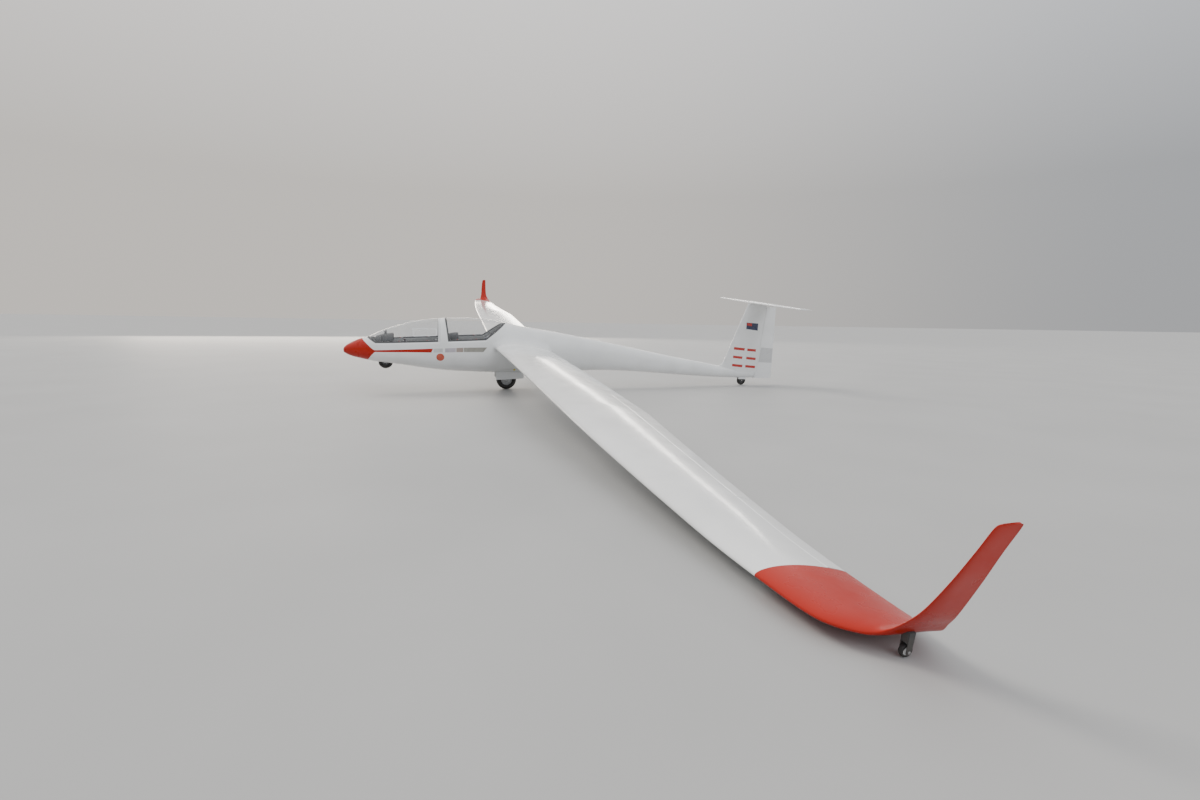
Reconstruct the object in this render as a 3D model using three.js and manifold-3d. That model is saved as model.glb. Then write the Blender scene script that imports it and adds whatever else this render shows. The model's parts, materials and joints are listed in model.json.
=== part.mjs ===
// Two-seat T-tail sailplane, parked on its main wheel, tail wheel and port wing tip.
// Millimetres. The aircraft is modelled level in its own frame: X to port, Y aft from the
// nose tip, Z up. The last section banks it onto its three wheels and sets the origin.
import * as THREE from 'three';
import Module from 'manifold-3d';
import { mergeVertices } from 'three/addons/utils/BufferGeometryUtils.js';

const wasm = await Module();
wasm.setup();

// Gaps
const SEAT_GAP = 0.3;          // between pieces that rest on each other
const SKIN_GAP = 0.4;          // between a piece and the curved skin that it is trimmed to
const HINGE_GAP = 6.5;         // between a control surface and its cove
const END_GAP = 8;             // beside the ends of a control surface
const CANOPY_GAP = 0.6;        // round a closed canopy

// Fuselage
const SKIN = 14;               // cockpit wall
const GLASS = 5;               // canopy glass
const POD_END = 3350;          // where the pod meets the tail boom
const BOOM_END = 8480;
// Station y, half width, top z, z of the widest line, bottom z
const FUSELAGE = [
  [3, 26, 30, 4, -24], [30, 66, 70, 6, -52], [90, 112, 117, 10, -82], [180, 160, 167, 16, -112],
  [293, 205, 218, 22, -138], [404, 240, 250, 28, -160], [618, 290, 360, 40, -196],
  [960, 328, 492, 50, -230], [1307, 350, 590, 60, -275], [1687, 362, 642, 70, -316],
  [2019, 367, 667, 80, -334], [2386, 366, 667, 90, -344], [2862, 350, 607, 90, -346],
  [3145, 330, 558, 90, -342], [3538, 296, 506, 85, -328], [3940, 258, 454, 78, -305],
  [4350, 224, 390, 60, -283], [4773, 196, 324, 40, -268], [5647, 160, 179, -45, -281],
  [6565, 132, 25, -145, -328], [7283, 112, -82, -220, -358], [7560, 100, -127, -245, -367],
  [8020, 72, -150, -262, -368], [8480, 40, -170, -266, -362],
];
const POD_STATIONS = [3, 30, 90, 180, 293, 404, 618, 790, 960, 1130, 1307, 1500, 1687, 2019, 2386,
  2620, 2862, 3145, POD_END];
const BOOM_STATIONS = [POD_END, 3538, 3940, 4350, 4773, 5200, 5647, 6100, 6565, 7000, 7283, 7560,
  8020, BOOM_END];
const AROUND = 24;             // points round a fuselage section
const SQUARENESS = { upper: 2.0, lower: 2.2 };

// Canopies, as edges in side view (y, z), and the cockpit
const NOSE_EDGE = [404, 249];
const SILL_FRONT = [556, 172];
const SILL_DIVIDER = [1655, 247];
const SILL_REAR_FRONT = [1800, 256];
const REAR_TOP_FRONT = [1742, 660];
const SILL_REAR = [2480, 304];
const REAR_TOP = [2866, 612];
const ABOVE = 900;             // higher than any canopy
const FRAME = 26;              // width of a canopy's frame
const COCKPIT = { front: 330, rearLow: 2400, rearHigh: 2870 };
const CANOPY_HINGE_FRONT = { x: -352, y: 1100, z: 165 };
const CANOPY_HINGE_REAR = { x: -360, y: 2200, z: 245 };

// Wing: leading edge, chord and height along the span
const WING_LE = { y: 2637, slope: 0.0251, bend: 8.85e-6, bendFrom: 5150 };
const WING_Z = { root: 159.3, slope: 0.0366, sag: 1.85e-6, tip: 4.66e-5, tipFrom: 8240 };
const WING_CHORD = [[371, 1055.6], [5459, 949.1], [8858, 546.6], [9682, 437]];
const TRAILING_DROP = 31;      // the trailing edge lies this much lower
const WING_ROOT = 400;         // joint of wing and fuselage stub
const WING_TIP = 8858;         // joint of wing and tip panel
const WING_STATIONS = [WING_ROOT, 1400, 2400, 3400, 4400, 5459, 6600, 7700, WING_TIP];
const WING_THICKNESS = { root: 0.155, tip: 0.13 };
const CAMBER = 0.028;

// Tip panel and winglet: leading edge, trailing edge, lean of the upper side in degrees,
// thickness ratio
const TIP = [
  [[9150, 3010, 374], [9150, 3517, 345], 3, 0.125],
  [[9300, 3045, 387], [9300, 3505, 362], 8, 0.12],
  [[9400, 3120, 400], [9420, 3482, 388], 20, 0.12],
  [[9445, 3176, 416], [9475, 3460, 412], 35, 0.12],
  [[9480, 3208, 450], [9520, 3440, 446], 52, 0.12],
  [[9530, 3220, 512], [9558, 3415, 502], 66, 0.11],
  [[9585, 3235, 600], [9600, 3398, 575], 71.7, 0.11],
  [[9655, 3246, 755], [9665, 3388, 745], 71.7, 0.11],
  [[9710, 3262, 907], [9716, 3385, 900], 71.7, 0.1],
  [[9740, 3281, 1010], [9757, 3385, 1018], 71.7, 0.1],
  [[9748, 3305, 1030], [9762, 3372, 1034], 71.7, 0.06],
];

// Control surfaces and airbrakes
const AILERON_LINE = [[4720, 3534], [8850, 3417]];   // hinge line in plan (x, y)
const AILERON_SPANS = { inner: [4720, 7866], outer: [7874, 8850] };
const BRAKE = { from: 3000, to: 4350, chord: 0.53, blade: 6, height: 104, cap: 34, capThick: 5 };
const BLADE_END = 16;          // the blade is this much shorter than its cap, at each end
const BRAKE_SLOT = { side: 6, depth: 112, endRoom: 6, capRoom: 5, floor: 0.3 };

// Fin, rudder and tailplane
const FIN = { lowZ: -330, highZ: 1262, rootZ: -127, rootY: 7557, topZ: 1244, topY: 8025 };
const FIN_LEVELS = [FIN.lowZ, 0, 400, 800, FIN.highZ];
const FIN_THICKNESS = { low: 0.112, high: 0.12 };
const RUDDER = {
  lowZ: -366, highZ: 1196, lowHinge: 8404, highHinge: 8482, lowTail: 8827, highTail: 8713,
};
const RUDDER_LEVELS = [RUDDER.lowZ, 40, 440, 840, RUDDER.highZ];
const RUDDER_TOP_ROOM = 4;     // from the rudder's top to the fin above it
const TAILPLANE = {
  z: 1268, rootLE: 8050, rootTE: 8572, tipLE: 8190, tipTE: 8470, halfSpan: 1600, thick: 0.11,
};
const ELEVATOR = { hinge: 8400, halfSpan: 1556 };

// Wheels: hub centre, radius, half width, rim radius, axle radius
const MAIN = { y: 2918, z: -490, radius: 190, half: 72, rim: 105, axle: 14 };
const NOSE = { y: 710, z: -194, radius: 125, half: 42, rim: 66, axle: 9 };
const TAIL = { y: 8087, z: -428, radius: 100, half: 25, rim: 52, axle: 8 };
const TIP_WHEEL = { x: 9495, y: 3295, z: 357, radius: 30, half: 11, rim: 12, axle: 4 };
const BORE_GAP = 0.4;
const TIP_WHEEL_SIDE = 5;      // between the tip wheel and its fork
const NOSE_WHEEL_SIDE = 6;     // between the nose tyre and its fork
// Tyre section: share of the height above the rim, share of the half width
const TYRE = [[0, 0.62], [0.28, 0.88], [0.55, 1], [0.9, 0.72], [1, 0.3]];
// Rim: hub flange, web and the flange under the tyre, as shares of the half width
const RIM = { hub: 1.08, web: 0.3, flange: 0.8, hubWall: 14, flangeWall: 8, slant: 2 };
// Radius of the rounding of each wheel that touches the ground
const CROWN = { main: 50, tail: 16, tip: 4 };

// Wheel wells
const WELL_MAIN = { half: 105, front: 2690, back: 3205, top: -130 };
const WELL_NOSE = { half: 54, front: 568, back: 852, top: -60 };
const WELL_TAIL = { half: 37, front: 7965, back: 8208, top: -314 };
const NOSE_BOX = { half: 62, front: 560, back: 860, top: -46, wall: 5, roof: 6 };

// Forks: outer half width and thickness of the plates, and the plates' outlines in side view,
// measured from the hub (y) and in the aircraft frame (z)
const MAIN_FORK = { outer: 98, plate: 12, bridge: 20, ahead: 90, behind: 60, pad: 34, below: 26 };
const NOSE_FORK = { plate: 4, pad: 26, below: 18, foot: 40, footZ: -50 };
const TAIL_FORK = {
  outer: 35, plate: 5, top: 0.3, bridge: 6, half: 60, inset: 3,
  outline: [[-96, -372], [-70, -422], [-20, -450], [20, -450], [80, -414], [100, -372],
    [60, -314.5], [-60, -314.5]],
};
const TIP_FORK = { plate: 4, half: 16, low: 16, high: 110, crown: 6 };

// Gear doors: distance from the middle, thickness, lean in degrees, height of the hinge
const DOOR = {
  x: 118, thick: 5, lean: 7, hingeZ: -330,
  outline: [[2702, -300], [3236, -300], [3238, -437], [3200, -445], [2728, -480], [2708, -470]],
};

// Hinge arms: a flat arm with a pin across its end, in a slot of the control surface.
// Stations are distances along the hinge line from its pivot.
const ARM = {
  half: 3, high: 3.5, pin: 3, reach: 12, rootIn: 12, slotSide: 6, slotBack: 10, swingRoom: 2.5,
};
const ARM_STATIONS = {
  inner: [700, 2400], outer: [200, 780], rudder: [150, 950], elevator: [-700, 700],
};
const LIMITS = { aileron: 20, rudder: 30, elevator: 20 };
const ROUND = 24;              // sides of a wheel
const ROD_SIDES = 16;
const PIN_SIDES = 8;

// Cockpit fittings, as outlines in side view (y, z)
const CANOPY_ROOM = 24;        // between an opening canopy and what stands under it
const SEATS = {
  front: [[1120, -190], [1360, -222], [1400, -205], [1600, 215], [1592, 221], [1392, -197],
    [1358, -212], [1120, -180]],
  rear: [[2060, -130], [2300, -165], [2345, -150], [2560, 330], [2552, 336], [2337, -142],
    [2298, -155], [2060, -120]],
};
// The low edge of each outline lies inside the seat shell and is trimmed to it
const CUSHIONS = {
  front: [[1130, -185], [1358, -216], [1394, -201], [1576, 182], [1544, 204], [1368, -160],
    [1350, -172], [1130, -148]],
  rear: [[2070, -126], [2298, -159], [2339, -146], [2536, 296], [2504, 316], [2312, -104],
    [2294, -116], [2070, -88]],
};
const CUSHION_HALF = 205;
const CUSHION_EDGE = 6;        // from a cushion to the cockpit wall
// Panels: half width and outline of the hood, then of the recess in its face
const PANELS = {
  front: {
    half: 180, hood: [[640, 205], [650, 300], [700, 360], [790, 382], [846, 372], [846, 180], [800, 176]],
    recessHalf: 166, recess: [[797, 190], [797, 362], [900, 362], [900, 190]],
  },
  rear: {
    half: 170, hood: [[1850, 232], [1862, 350], [1900, 384], [1990, 388], [1990, 232]],
    recessHalf: 160, recess: [[1960, 242], [1960, 378], [2050, 378], [2050, 242]],
  },
};
const COLUMNS = {
  front: { half: 60, front: 700, back: 760, top: 200 },
  rear: { half: 50, front: 1880, back: 1935, top: 240 },
};
const STICK = {
  front: 1050, rear: 2035, lean: 0.1, baseHalf: 45, baseTop: -180,
  tube: { top: 11, bottom: 13, length: 330, z: -25 },
  grip: { top: 17, bottom: 15, length: 110, z: 175, ahead: 4 },
};
const FAR = { side: 600, low: -900, high: 1500, back: 9200 };   // beyond every piece

// Materials
const paint = (color, roughness, metalness = 0) =>
  new THREE.MeshStandardMaterial({ color, roughness, metalness });
const WHITE = paint(0xf2f1ec, 0.18);
const RED = paint(0xc8341c, 0.22);
const FRAME_PAINT = paint(0xe9e7e0, 0.3);
const CLEAR = paint(0xdfe9ee, 0.05);
CLEAR.transparent = true;
CLEAR.opacity = 0.25;
const BLACK = paint(0x1c1c1e, 0.7);
const GREY = paint(0x8c8f92, 0.6);
const CLOTH = paint(0x59606a, 0.9);
const RUBBER = paint(0x1a1a1a, 0.85);
const ALLOY = paint(0xb4b6b8, 0.35, 0.9);

// Value of a table's column at a position, on a smooth curve through its rows
function along(table, column, at) {
  const rows = table.length;
  let k = 0;
  while (k < rows - 2 && at > table[k + 1][0]) k++;
  const tangent = (i) => {
    const a = Math.max(i - 1, 0);
    const b = Math.min(i + 1, rows - 1);
    return (table[b][column] - table[a][column]) / (table[b][0] - table[a][0]);
  };
  const width = table[k + 1][0] - table[k][0];
  const t = (at - table[k][0]) / width;
  const [p, q] = [table[k][column], table[k + 1][column]];
  const [m, n] = [tangent(k) * width, tangent(k + 1) * width];
  const start = p * (1 + 2 * t) * (1 - t) ** 2 + m * t * (1 - t) ** 2;
  return start + q * t * t * (3 - 2 * t) - n * t * t * (1 - t);
}

// Value on the straight line between two points
const between = (a, b, t) => a + (b - a) * t;

// Closed skin through loops of equal length. Point i of a loop lies across from point n - i,
// so the two end caps are ladders of flat strips.
function loft(loops) {
  const n = loops[0].length;
  const index = [];
  for (let k = 0; k + 1 < loops.length; k++) {
    for (let i = 0; i < n; i++) {
      const a = k * n + i;
      const b = k * n + (i + 1) % n;
      index.push(a, b, a + n, b, b + n, a + n);
    }
  }
  const cap = (base, flip) => {
    for (let i = 0; i < n / 2; i++) {
      const quad = [i, i + 1, n - i - 1, (n - i) % n].map((v) => base + v);
      const faces = [[quad[0], quad[1], quad[2]], [quad[0], quad[2], quad[3]]];
      for (const [a, b, c] of faces) {
        if (a !== b && b !== c && c !== a) index.push(...(flip ? [a, c, b] : [a, b, c]));
      }
    }
  };
  cap(0, true);
  cap((loops.length - 1) * n, false);
  const geometry = new THREE.BufferGeometry();
  geometry.setAttribute('position', new THREE.Float32BufferAttribute(loops.flat(2), 3));
  geometry.setIndex(index);
  return volumeOf(geometry) < 0 ? flipped(geometry) : geometry;
}

// Signed volume, positive when the faces point out
function volumeOf(geometry) {
  const p = geometry.attributes.position;
  const [a, b, c] = [new THREE.Vector3(), new THREE.Vector3(), new THREE.Vector3()];
  let sum = 0;
  for (let i = 0; i < geometry.index.count; i += 3) {
    [a, b, c].forEach((v, k) => v.fromBufferAttribute(p, geometry.index.getX(i + k)));
    sum += a.dot(b.cross(c));
  }
  return sum / 6;
}

function flipped(geometry) {
  const turned = Array.from(geometry.index.array);
  for (let i = 0; i < turned.length; i += 3) {
    [turned[i + 1], turned[i + 2]] = [turned[i + 2], turned[i + 1]];
  }
  geometry.setIndex(turned);
  return geometry;
}

// Geometry whose triangles share their corners
function mergedOnce(geometry) {
  const bare = geometry.clone();
  bare.deleteAttribute('normal');
  bare.deleteAttribute('uv');
  return mergeVertices(bare, 1e-3);
}

// Solid of a closed geometry, for joining and cutting, and back again
function solid(geometry) {
  const { attributes, index } = mergedOnce(geometry);
  const vertProperties = Float32Array.from(attributes.position.array);
  const triVerts = Uint32Array.from(index.array);
  return new wasm.Manifold(new wasm.Mesh({ numProp: 3, vertProperties, triVerts }));
}

function shell(body) {
  const mesh = body.getMesh();
  const geometry = new THREE.BufferGeometry();
  geometry.setAttribute('position', new THREE.BufferAttribute(mesh.vertProperties, 3));
  geometry.setIndex(new THREE.BufferAttribute(mesh.triVerts, 1));
  geometry.computeVertexNormals();
  return geometry;
}

// Basic solids in the aircraft frame
function block([x0, x1], [y0, y1], [z0, z1]) {
  const box = new THREE.BoxGeometry(x1 - x0, y1 - y0, z1 - z0);
  return solid(box.translate((x0 + x1) / 2, (y0 + y1) / 2, (z0 + z1) / 2));
}

// Outline in side view (y, z), carried across from x0 to x1
function prism(outline, x0, x1) {
  const shape = new THREE.Shape(outline.map(([y, z]) => new THREE.Vector2(y, z)));
  const geometry = new THREE.ExtrudeGeometry(shape, { depth: x1 - x0, bevelEnabled: false });
  const sideways = new THREE.Matrix4().makeBasis(
    new THREE.Vector3(0, 1, 0), new THREE.Vector3(0, 0, 1), new THREE.Vector3(1, 0, 0));
  return solid(geometry.applyMatrix4(sideways).translate(x0, 0, 0));
}

// Round solid about a line along X, from a closed outline of (radius, x)
function turned(outline, x, y, z) {
  const points = [...outline, outline[0]].map(([r, w]) => new THREE.Vector2(r, w));
  const geometry = new THREE.LatheGeometry(points, ROUND);
  geometry.rotateZ(-Math.PI / 2);
  const closed = mergedOnce(geometry);
  return solid(volumeOf(closed) < 0 ? flipped(closed) : closed).translate([x, y, z]);
}

// Closed outline of (radius, x) from its outer half, given as (radius, distance from the middle)
const bothSides = (outline) => [...outline.map(([r, w]) => [r, -w]), ...[...outline].reverse()];

function rod(radius, x0, x1, y, z, sides = ROD_SIDES) {
  const cylinder = new THREE.CylinderGeometry(radius, radius, x1 - x0, sides);
  return solid(cylinder.rotateZ(Math.PI / 2).translate((x0 + x1) / 2, y, z));
}

// Fuselage sections
const power = (value, exponent) => Math.sign(value) * Math.abs(value) ** exponent;

function fuselageLoop(y, inset) {
  const [half, top, wide, bottom] = [1, 2, 3, 4].map((column) => along(FUSELAGE, column, y));
  return Array.from({ length: AROUND }, (_, i) => {
    const angle = 2 * Math.PI * i / AROUND;
    const upper = i <= AROUND / 2;
    const bend = 2 / (upper ? SQUARENESS.upper : SQUARENESS.lower);
    const rise = upper ? top - wide - inset : wide - bottom - inset;
    return [(half - inset) * power(Math.cos(angle), bend), y, wide + rise * power(Math.sin(angle), bend)];
  });
}

const fuselageBody = (stations, inset = 0) => solid(loft(stations.map((y) => fuselageLoop(y, inset))));

// Aerofoil sections. Half thickness and camber are shares of the chord.
const halfThickness = (s) => 5 * (0.2969 * Math.sqrt(s) - 0.126 * s - 0.3516 * s ** 2
  + 0.2843 * s ** 3 - 0.1036 * s ** 4);
const camberLine = (s) => 4 * s * (1 - s);

function surfacePoint({ le, te, up, thick, camber = 0, grow = 0 }, s, side) {
  const chord = le.distanceTo(te);
  const height = chord * (camber * camberLine(s) + side * thick * halfThickness(s)) + side * grow;
  return le.clone().lerp(te, s).addScaledVector(up, height);
}

const FOIL_POINTS = 24;

function foilLoop(section) {
  return Array.from({ length: FOIL_POINTS }, (_, i) => {
    const angle = 2 * Math.PI * i / FOIL_POINTS;
    const side = i === 0 || i === FOIL_POINTS / 2 ? 0 : Math.sign(Math.sin(angle));
    return surfacePoint(section, (1 + Math.cos(angle)) / 2, side).toArray();
  });
}

// Control surface: the part of each section behind the hinge, with a nose round the hinge
function flapLoop(section, share) {
  const top = surfacePoint(section, share, 1);
  const low = surfacePoint(section, share, -1);
  const hinge = top.clone().lerp(low, 0.5);
  const radius = top.distanceTo(low) / 2;
  const forward = section.le.clone().sub(section.te).normalize();
  const arc = [60, 30, 0, -30, -60].map((degrees) => {
    const angle = THREE.MathUtils.degToRad(degrees);
    return hinge.clone().addScaledVector(forward, radius * Math.cos(angle))
      .addScaledVector(section.up, radius * Math.sin(angle));
  });
  const chordwise = [0.97, 0.85, 0.6, 0.3, 0].map((t) => between(share, 1, t));
  const upper = chordwise.map((s) => surfacePoint(section, s, 1));
  const lower = chordwise.map((s) => surfacePoint(section, s, -1)).reverse();
  return [section.te.clone(), ...upper, ...arc, ...lower].map((p) => p.toArray());
}

// Wing
const vector = ([x, y, z]) => new THREE.Vector3(x, y, z);
const UP = vector([0, 0, 1]);
const SIDEWAYS = vector([1, 0, 0]);

function wingChord(x) {
  const k = x < WING_CHORD[1][0] ? 0 : x < WING_CHORD[2][0] ? 1 : 2;
  const [[x0, c0], [x1, c1]] = [WING_CHORD[k], WING_CHORD[k + 1]];
  return between(c0, c1, (x - x0) / (x1 - x0));
}

function wingSection(x, { stretch = 1, fatten = 1, grow = 0 } = {}) {
  const chord = wingChord(x);
  const extra = chord * (stretch - 1);
  const y = WING_LE.y + WING_LE.slope * x + WING_LE.bend * Math.max(x - WING_LE.bendFrom, 0) ** 2;
  const z = WING_Z.root + WING_Z.slope * x - WING_Z.sag * x * x
    + WING_Z.tip * Math.max(x - WING_Z.tipFrom, 0) ** 2;
  const thick = between(WING_THICKNESS.root, WING_THICKNESS.tip, x / WING_TIP) * fatten;
  return {
    le: vector([x, y - extra * 0.4, z]), te: vector([x, y + chord + extra * 0.6, z - TRAILING_DROP]),
    up: UP, thick, camber: CAMBER, grow,
  };
}

function tipSections(grow = 0) {
  const rows = TIP.map(([le, te, lean, thick]) => {
    const angle = THREE.MathUtils.degToRad(lean);
    const up = vector([-Math.sin(angle), 0, Math.cos(angle)]);
    return { le: vector(le), te: vector(te), up, thick, camber: CAMBER, grow };
  });
  return [wingSection(WING_TIP + SEAT_GAP, { grow }), ...rows];
}

function middle(section, share) {
  return surfacePoint(section, share, 1).lerp(surfacePoint(section, share, -1), 0.5);
}

function noseRadius(section, share) {
  return surfacePoint(section, share, 1).distanceTo(surfacePoint(section, share, -1)) / 2;
}

const hingeShare = (section, y) => (y - section.le.y) / (section.te.y - section.le.y);

function aileronShare(x) {
  const [[x0, y0], [x1, y1]] = AILERON_LINE;
  return hingeShare(wingSection(x), between(y0, y1, (x - x0) / (x1 - x0)));
}

// Room for the ailerons behind their cove
function aileronRoom([x0, x1], reach) {
  const loops = [x0 - reach, WING_CHORD[1][0], between(x0, x1, 0.6), x1 + reach].map((x) => {
    const section = wingSection(x);
    const share = aileronShare(x);
    const front = middle(section, share).y - noseRadius(section, share) - HINGE_GAP;
    const back = section.te.y + 100;
    const [low, high] = [-300, 700];
    return [[x, back, 0], [x, back, high], [x, front, high], [x, front, 0], [x, front, low], [x, back, low]];
  });
  return solid(loft(loops));
}

function airbrakeFrame() {
  const [inner, outer] = [BRAKE.from, BRAKE.to]
    .map((x) => surfacePoint(wingSection(x), BRAKE.chord, 1));
  const ex = outer.clone().sub(inner).normalize();
  const ez = UP.clone().addScaledVector(ex, -UP.dot(ex)).normalize();
  const ey = ez.clone().cross(ex);
  return new THREE.Matrix4().makeBasis(ex, ey, ez).setPosition(inner.lerp(outer, 0.5));
}

// Ranges about zero
const about = (half) => [-half, half];

// The blade and its cap, and the slot in the wing, in the airbrake's own frame: X along the
// span, Z out of the upper side
const BRAKE_HALF = (BRAKE.to - BRAKE.from) / 2;
const CAP_TOP = -1;            // the cap lies this much under the wing's highest line

function airbrakeSlot() {
  const { side, depth, endRoom, capRoom, floor } = BRAKE_SLOT;
  const seat = block(about(BRAKE_HALF + endRoom), about(BRAKE.cap / 2 + capRoom),
    [CAP_TOP - BRAKE.capThick - floor, 40]);
  const well = block(about(BRAKE_HALF - BLADE_END + endRoom), about(BRAKE.blade / 2 + side), [-depth, 0]);
  return seat.add(well);
}

function airbrakeBlade() {
  const cap = block(about(BRAKE_HALF), about(BRAKE.cap / 2), [CAP_TOP - BRAKE.capThick, CAP_TOP]);
  return cap.add(block(about(BRAKE_HALF - BLADE_END), about(BRAKE.blade / 2), [-BRAKE.height, CAP_TOP - 1]));
}

const placed = (body, matrix) => solid(shell(body).applyMatrix4(matrix));

// Hinge line of a control surface: its start, its direction and the way to the main surface
function hingeLine(from, to, ahead) {
  const axis = to.clone().sub(from).normalize();
  const up = axis.clone().cross(ahead).normalize();
  return { from, axis, ahead: up.clone().cross(axis), up };
}

// Arm that the main surface carries at a station of the hinge line, and the slot for it
function hingeArm({ from, axis, ahead, up }, station, nose, limit) {
  const frame = new THREE.Matrix4().makeBasis(axis, ahead, up)
    .setPosition(from.clone().addScaledVector(axis, station));
  const swing = nose * Math.sin(THREE.MathUtils.degToRad(limit)) + ARM.high + ARM.swingRoom;
  const side = ARM.half + ARM.slotSide;
  const root = nose + HINGE_GAP + ARM.rootIn;
  const arm = block(about(ARM.half), [-ARM.high, root], about(ARM.high))
    .add(rod(ARM.pin, -ARM.reach, ARM.reach, 0, 0, PIN_SIDES));
  const slot = block(about(side), [-ARM.slotBack, nose + HINGE_GAP], about(swing))
    .add(rod(ARM.pin + BORE_GAP, -ARM.reach - 1, ARM.reach + 1, 0, 0, PIN_SIDES));
  return { arm: placed(arm, frame), slot: placed(slot, frame) };
}

// Main surface with its arms, and control surface with their slots
function hinged(main, surface, line, stations, noseAt, limit) {
  const arms = stations.map((station) => hingeArm(line, station, noseAt(station), limit));
  return {
    main: arms.reduce((body, { arm }) => body.add(arm), main),
    surface: arms.reduce((body, { slot }) => body.subtract(slot), surface),
  };
}

function wingPanel() {
  let panel = solid(loft(WING_STATIONS.map((x) => foilLoop(wingSection(x)))));
  const { inner, outer } = AILERON_SPANS;
  panel = panel.subtract(aileronRoom([inner[0], outer[1]], END_GAP));
  return panel.subtract(placed(airbrakeSlot(), airbrakeFrame()));
}

function aileron([x0, x1]) {
  const stations = [0, 0.25, 0.5, 0.75, 1].map((t) => between(x0, x1, t));
  return solid(loft(stations.map((x) => flapLoop(wingSection(x), aileronShare(x)))));
}

const wingtip = (grow = 0) => solid(loft(tipSections(grow).map(foilLoop)));

// Wheel under the winglet's root and its fork
function tipFork() {
  const { x, y, z, half, axle, radius } = TIP_WHEEL;
  const { plate, half: deep, low, high, crown } = TIP_FORK;
  const inner = half + TIP_WHEEL_SIDE;
  const body = block([x - inner - plate, x + inner + plate], [y - deep, y + deep], [z - low, z + high])
    .subtract(block([x - inner, x + inner], [y - radius - 10, y + radius + 10], [z - 60, z + radius + crown]))
    .add(rod(axle, x - inner - 1, x + inner + 1, y, z));
  const skin = wingtip(SKIN_GAP);
  return [0, 25, 50, 75].reduce((rest, lift) => rest.subtract(skin.translate([0, 0, lift])), body);
}

function wheel({ y, z, radius, half, rim, axle }) {
  const bead = rim + SEAT_GAP;
  const tyre = TYRE.map(([height, width]) => [between(bead, radius, height), half * width]);
  const hub = axle + RIM.hubWall;
  const flange = rim - RIM.flangeWall;
  const side = [
    [axle + BORE_GAP, half * RIM.hub], [hub, half * RIM.hub], [hub + RIM.slant, half * RIM.web],
    [flange - RIM.slant, half * RIM.web], [flange, half * RIM.flange], [rim, half * RIM.flange],
  ];
  return { tyre: turned(bothSides(tyre), 0, y, z), rim: turned(bothSides(side), 0, y, z) };
}

// Fin and rudder
const rudderHeight = (z) => (z - RUDDER.lowZ) / (RUDDER.highZ - RUDDER.lowZ);
const hingeY = (z) => between(RUDDER.lowHinge, RUDDER.highHinge, rudderHeight(z));

function finSection(z, grow = 0) {
  const y = between(FIN.rootY, FIN.topY, (z - FIN.rootZ) / (FIN.topZ - FIN.rootZ));
  const share = rudderHeight(z);
  const tail = between(RUDDER.lowTail, RUDDER.highTail, share);
  const thick = between(FIN_THICKNESS.low, FIN_THICKNESS.high, share);
  return { le: vector([0, y, z]), te: vector([0, tail, z]), up: SIDEWAYS, thick, grow };
}

const rudderShare = (z) => hingeShare(finSection(z), hingeY(z));

function rudderRoom() {
  const front = (z) => hingeY(z) - noseRadius(finSection(z), rudderShare(z)) - HINGE_GAP;
  const [low, high] = [-500, 1400];
  return prism([[front(low), low], [FAR.back, low], [FAR.back, high], [front(high), high]], -200, 200);
}

const rudder = () => solid(loft(RUDDER_LEVELS.map((z) => flapLoop(finSection(z), rudderShare(z)))));

// Tailplane and elevator
function tailSection(x, grow = 0) {
  const t = Math.abs(x) / TAILPLANE.halfSpan;
  const front = between(TAILPLANE.rootLE, TAILPLANE.tipLE, t);
  const back = between(TAILPLANE.rootTE, TAILPLANE.tipTE, t);
  const { z, thick } = TAILPLANE;
  return { le: vector([x, front, z]), te: vector([x, back, z]), up: UP, thick, grow };
}

function tailBody(grow = 0) {
  const stations = [-1, -0.5, 0, 0.5, 1].map((t) => t * TAILPLANE.halfSpan);
  return solid(loft(stations.map((x) => foilLoop(tailSection(x, grow)))));
}

const elevatorShare = (x) => hingeShare(tailSection(x), ELEVATOR.hinge);

const elevatorFront = () => ELEVATOR.hinge - noseRadius(tailSection(0), elevatorShare(0)) - HINGE_GAP;

function elevatorRoom() {
  const reach = ELEVATOR.halfSpan + END_GAP;
  return block(about(reach), [elevatorFront(), FAR.back], [TAILPLANE.z - 100, TAILPLANE.z + 100]);
}

const elevator = () => solid(loft([-ELEVATOR.halfSpan, 0, ELEVATOR.halfSpan]
  .map((x) => flapLoop(tailSection(x), elevatorShare(x)))));

// Fuselage, cockpit and canopies
const outer = fuselageBody(POD_STATIONS);
const across = (outline) => prism(outline, -FAR.side, FAR.side);
const box = ({ half, front, back, top }) => block(about(half), [front, back], [FAR.low, top]);
const cavityShape = [[COCKPIT.front, FAR.low], [COCKPIT.rearLow, FAR.low], [COCKPIT.rearLow, -600],
  [COCKPIT.rearHigh, 620], [COCKPIT.rearHigh, ABOVE], [COCKPIT.front, ABOVE]];
const cavity = (inset) => fuselageBody(POD_STATIONS, inset).intersect(across(cavityShape));

const canopyOutlines = {
  front: [[NOSE_EDGE[0], ABOVE], NOSE_EDGE, SILL_FRONT, SILL_DIVIDER, [SILL_DIVIDER[0], ABOVE]],
  rear: [[REAR_TOP_FRONT[0], ABOVE], REAR_TOP_FRONT, SILL_REAR_FRONT, SILL_REAR, REAR_TOP,
    [REAR_TOP[0], ABOVE]],
};

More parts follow.
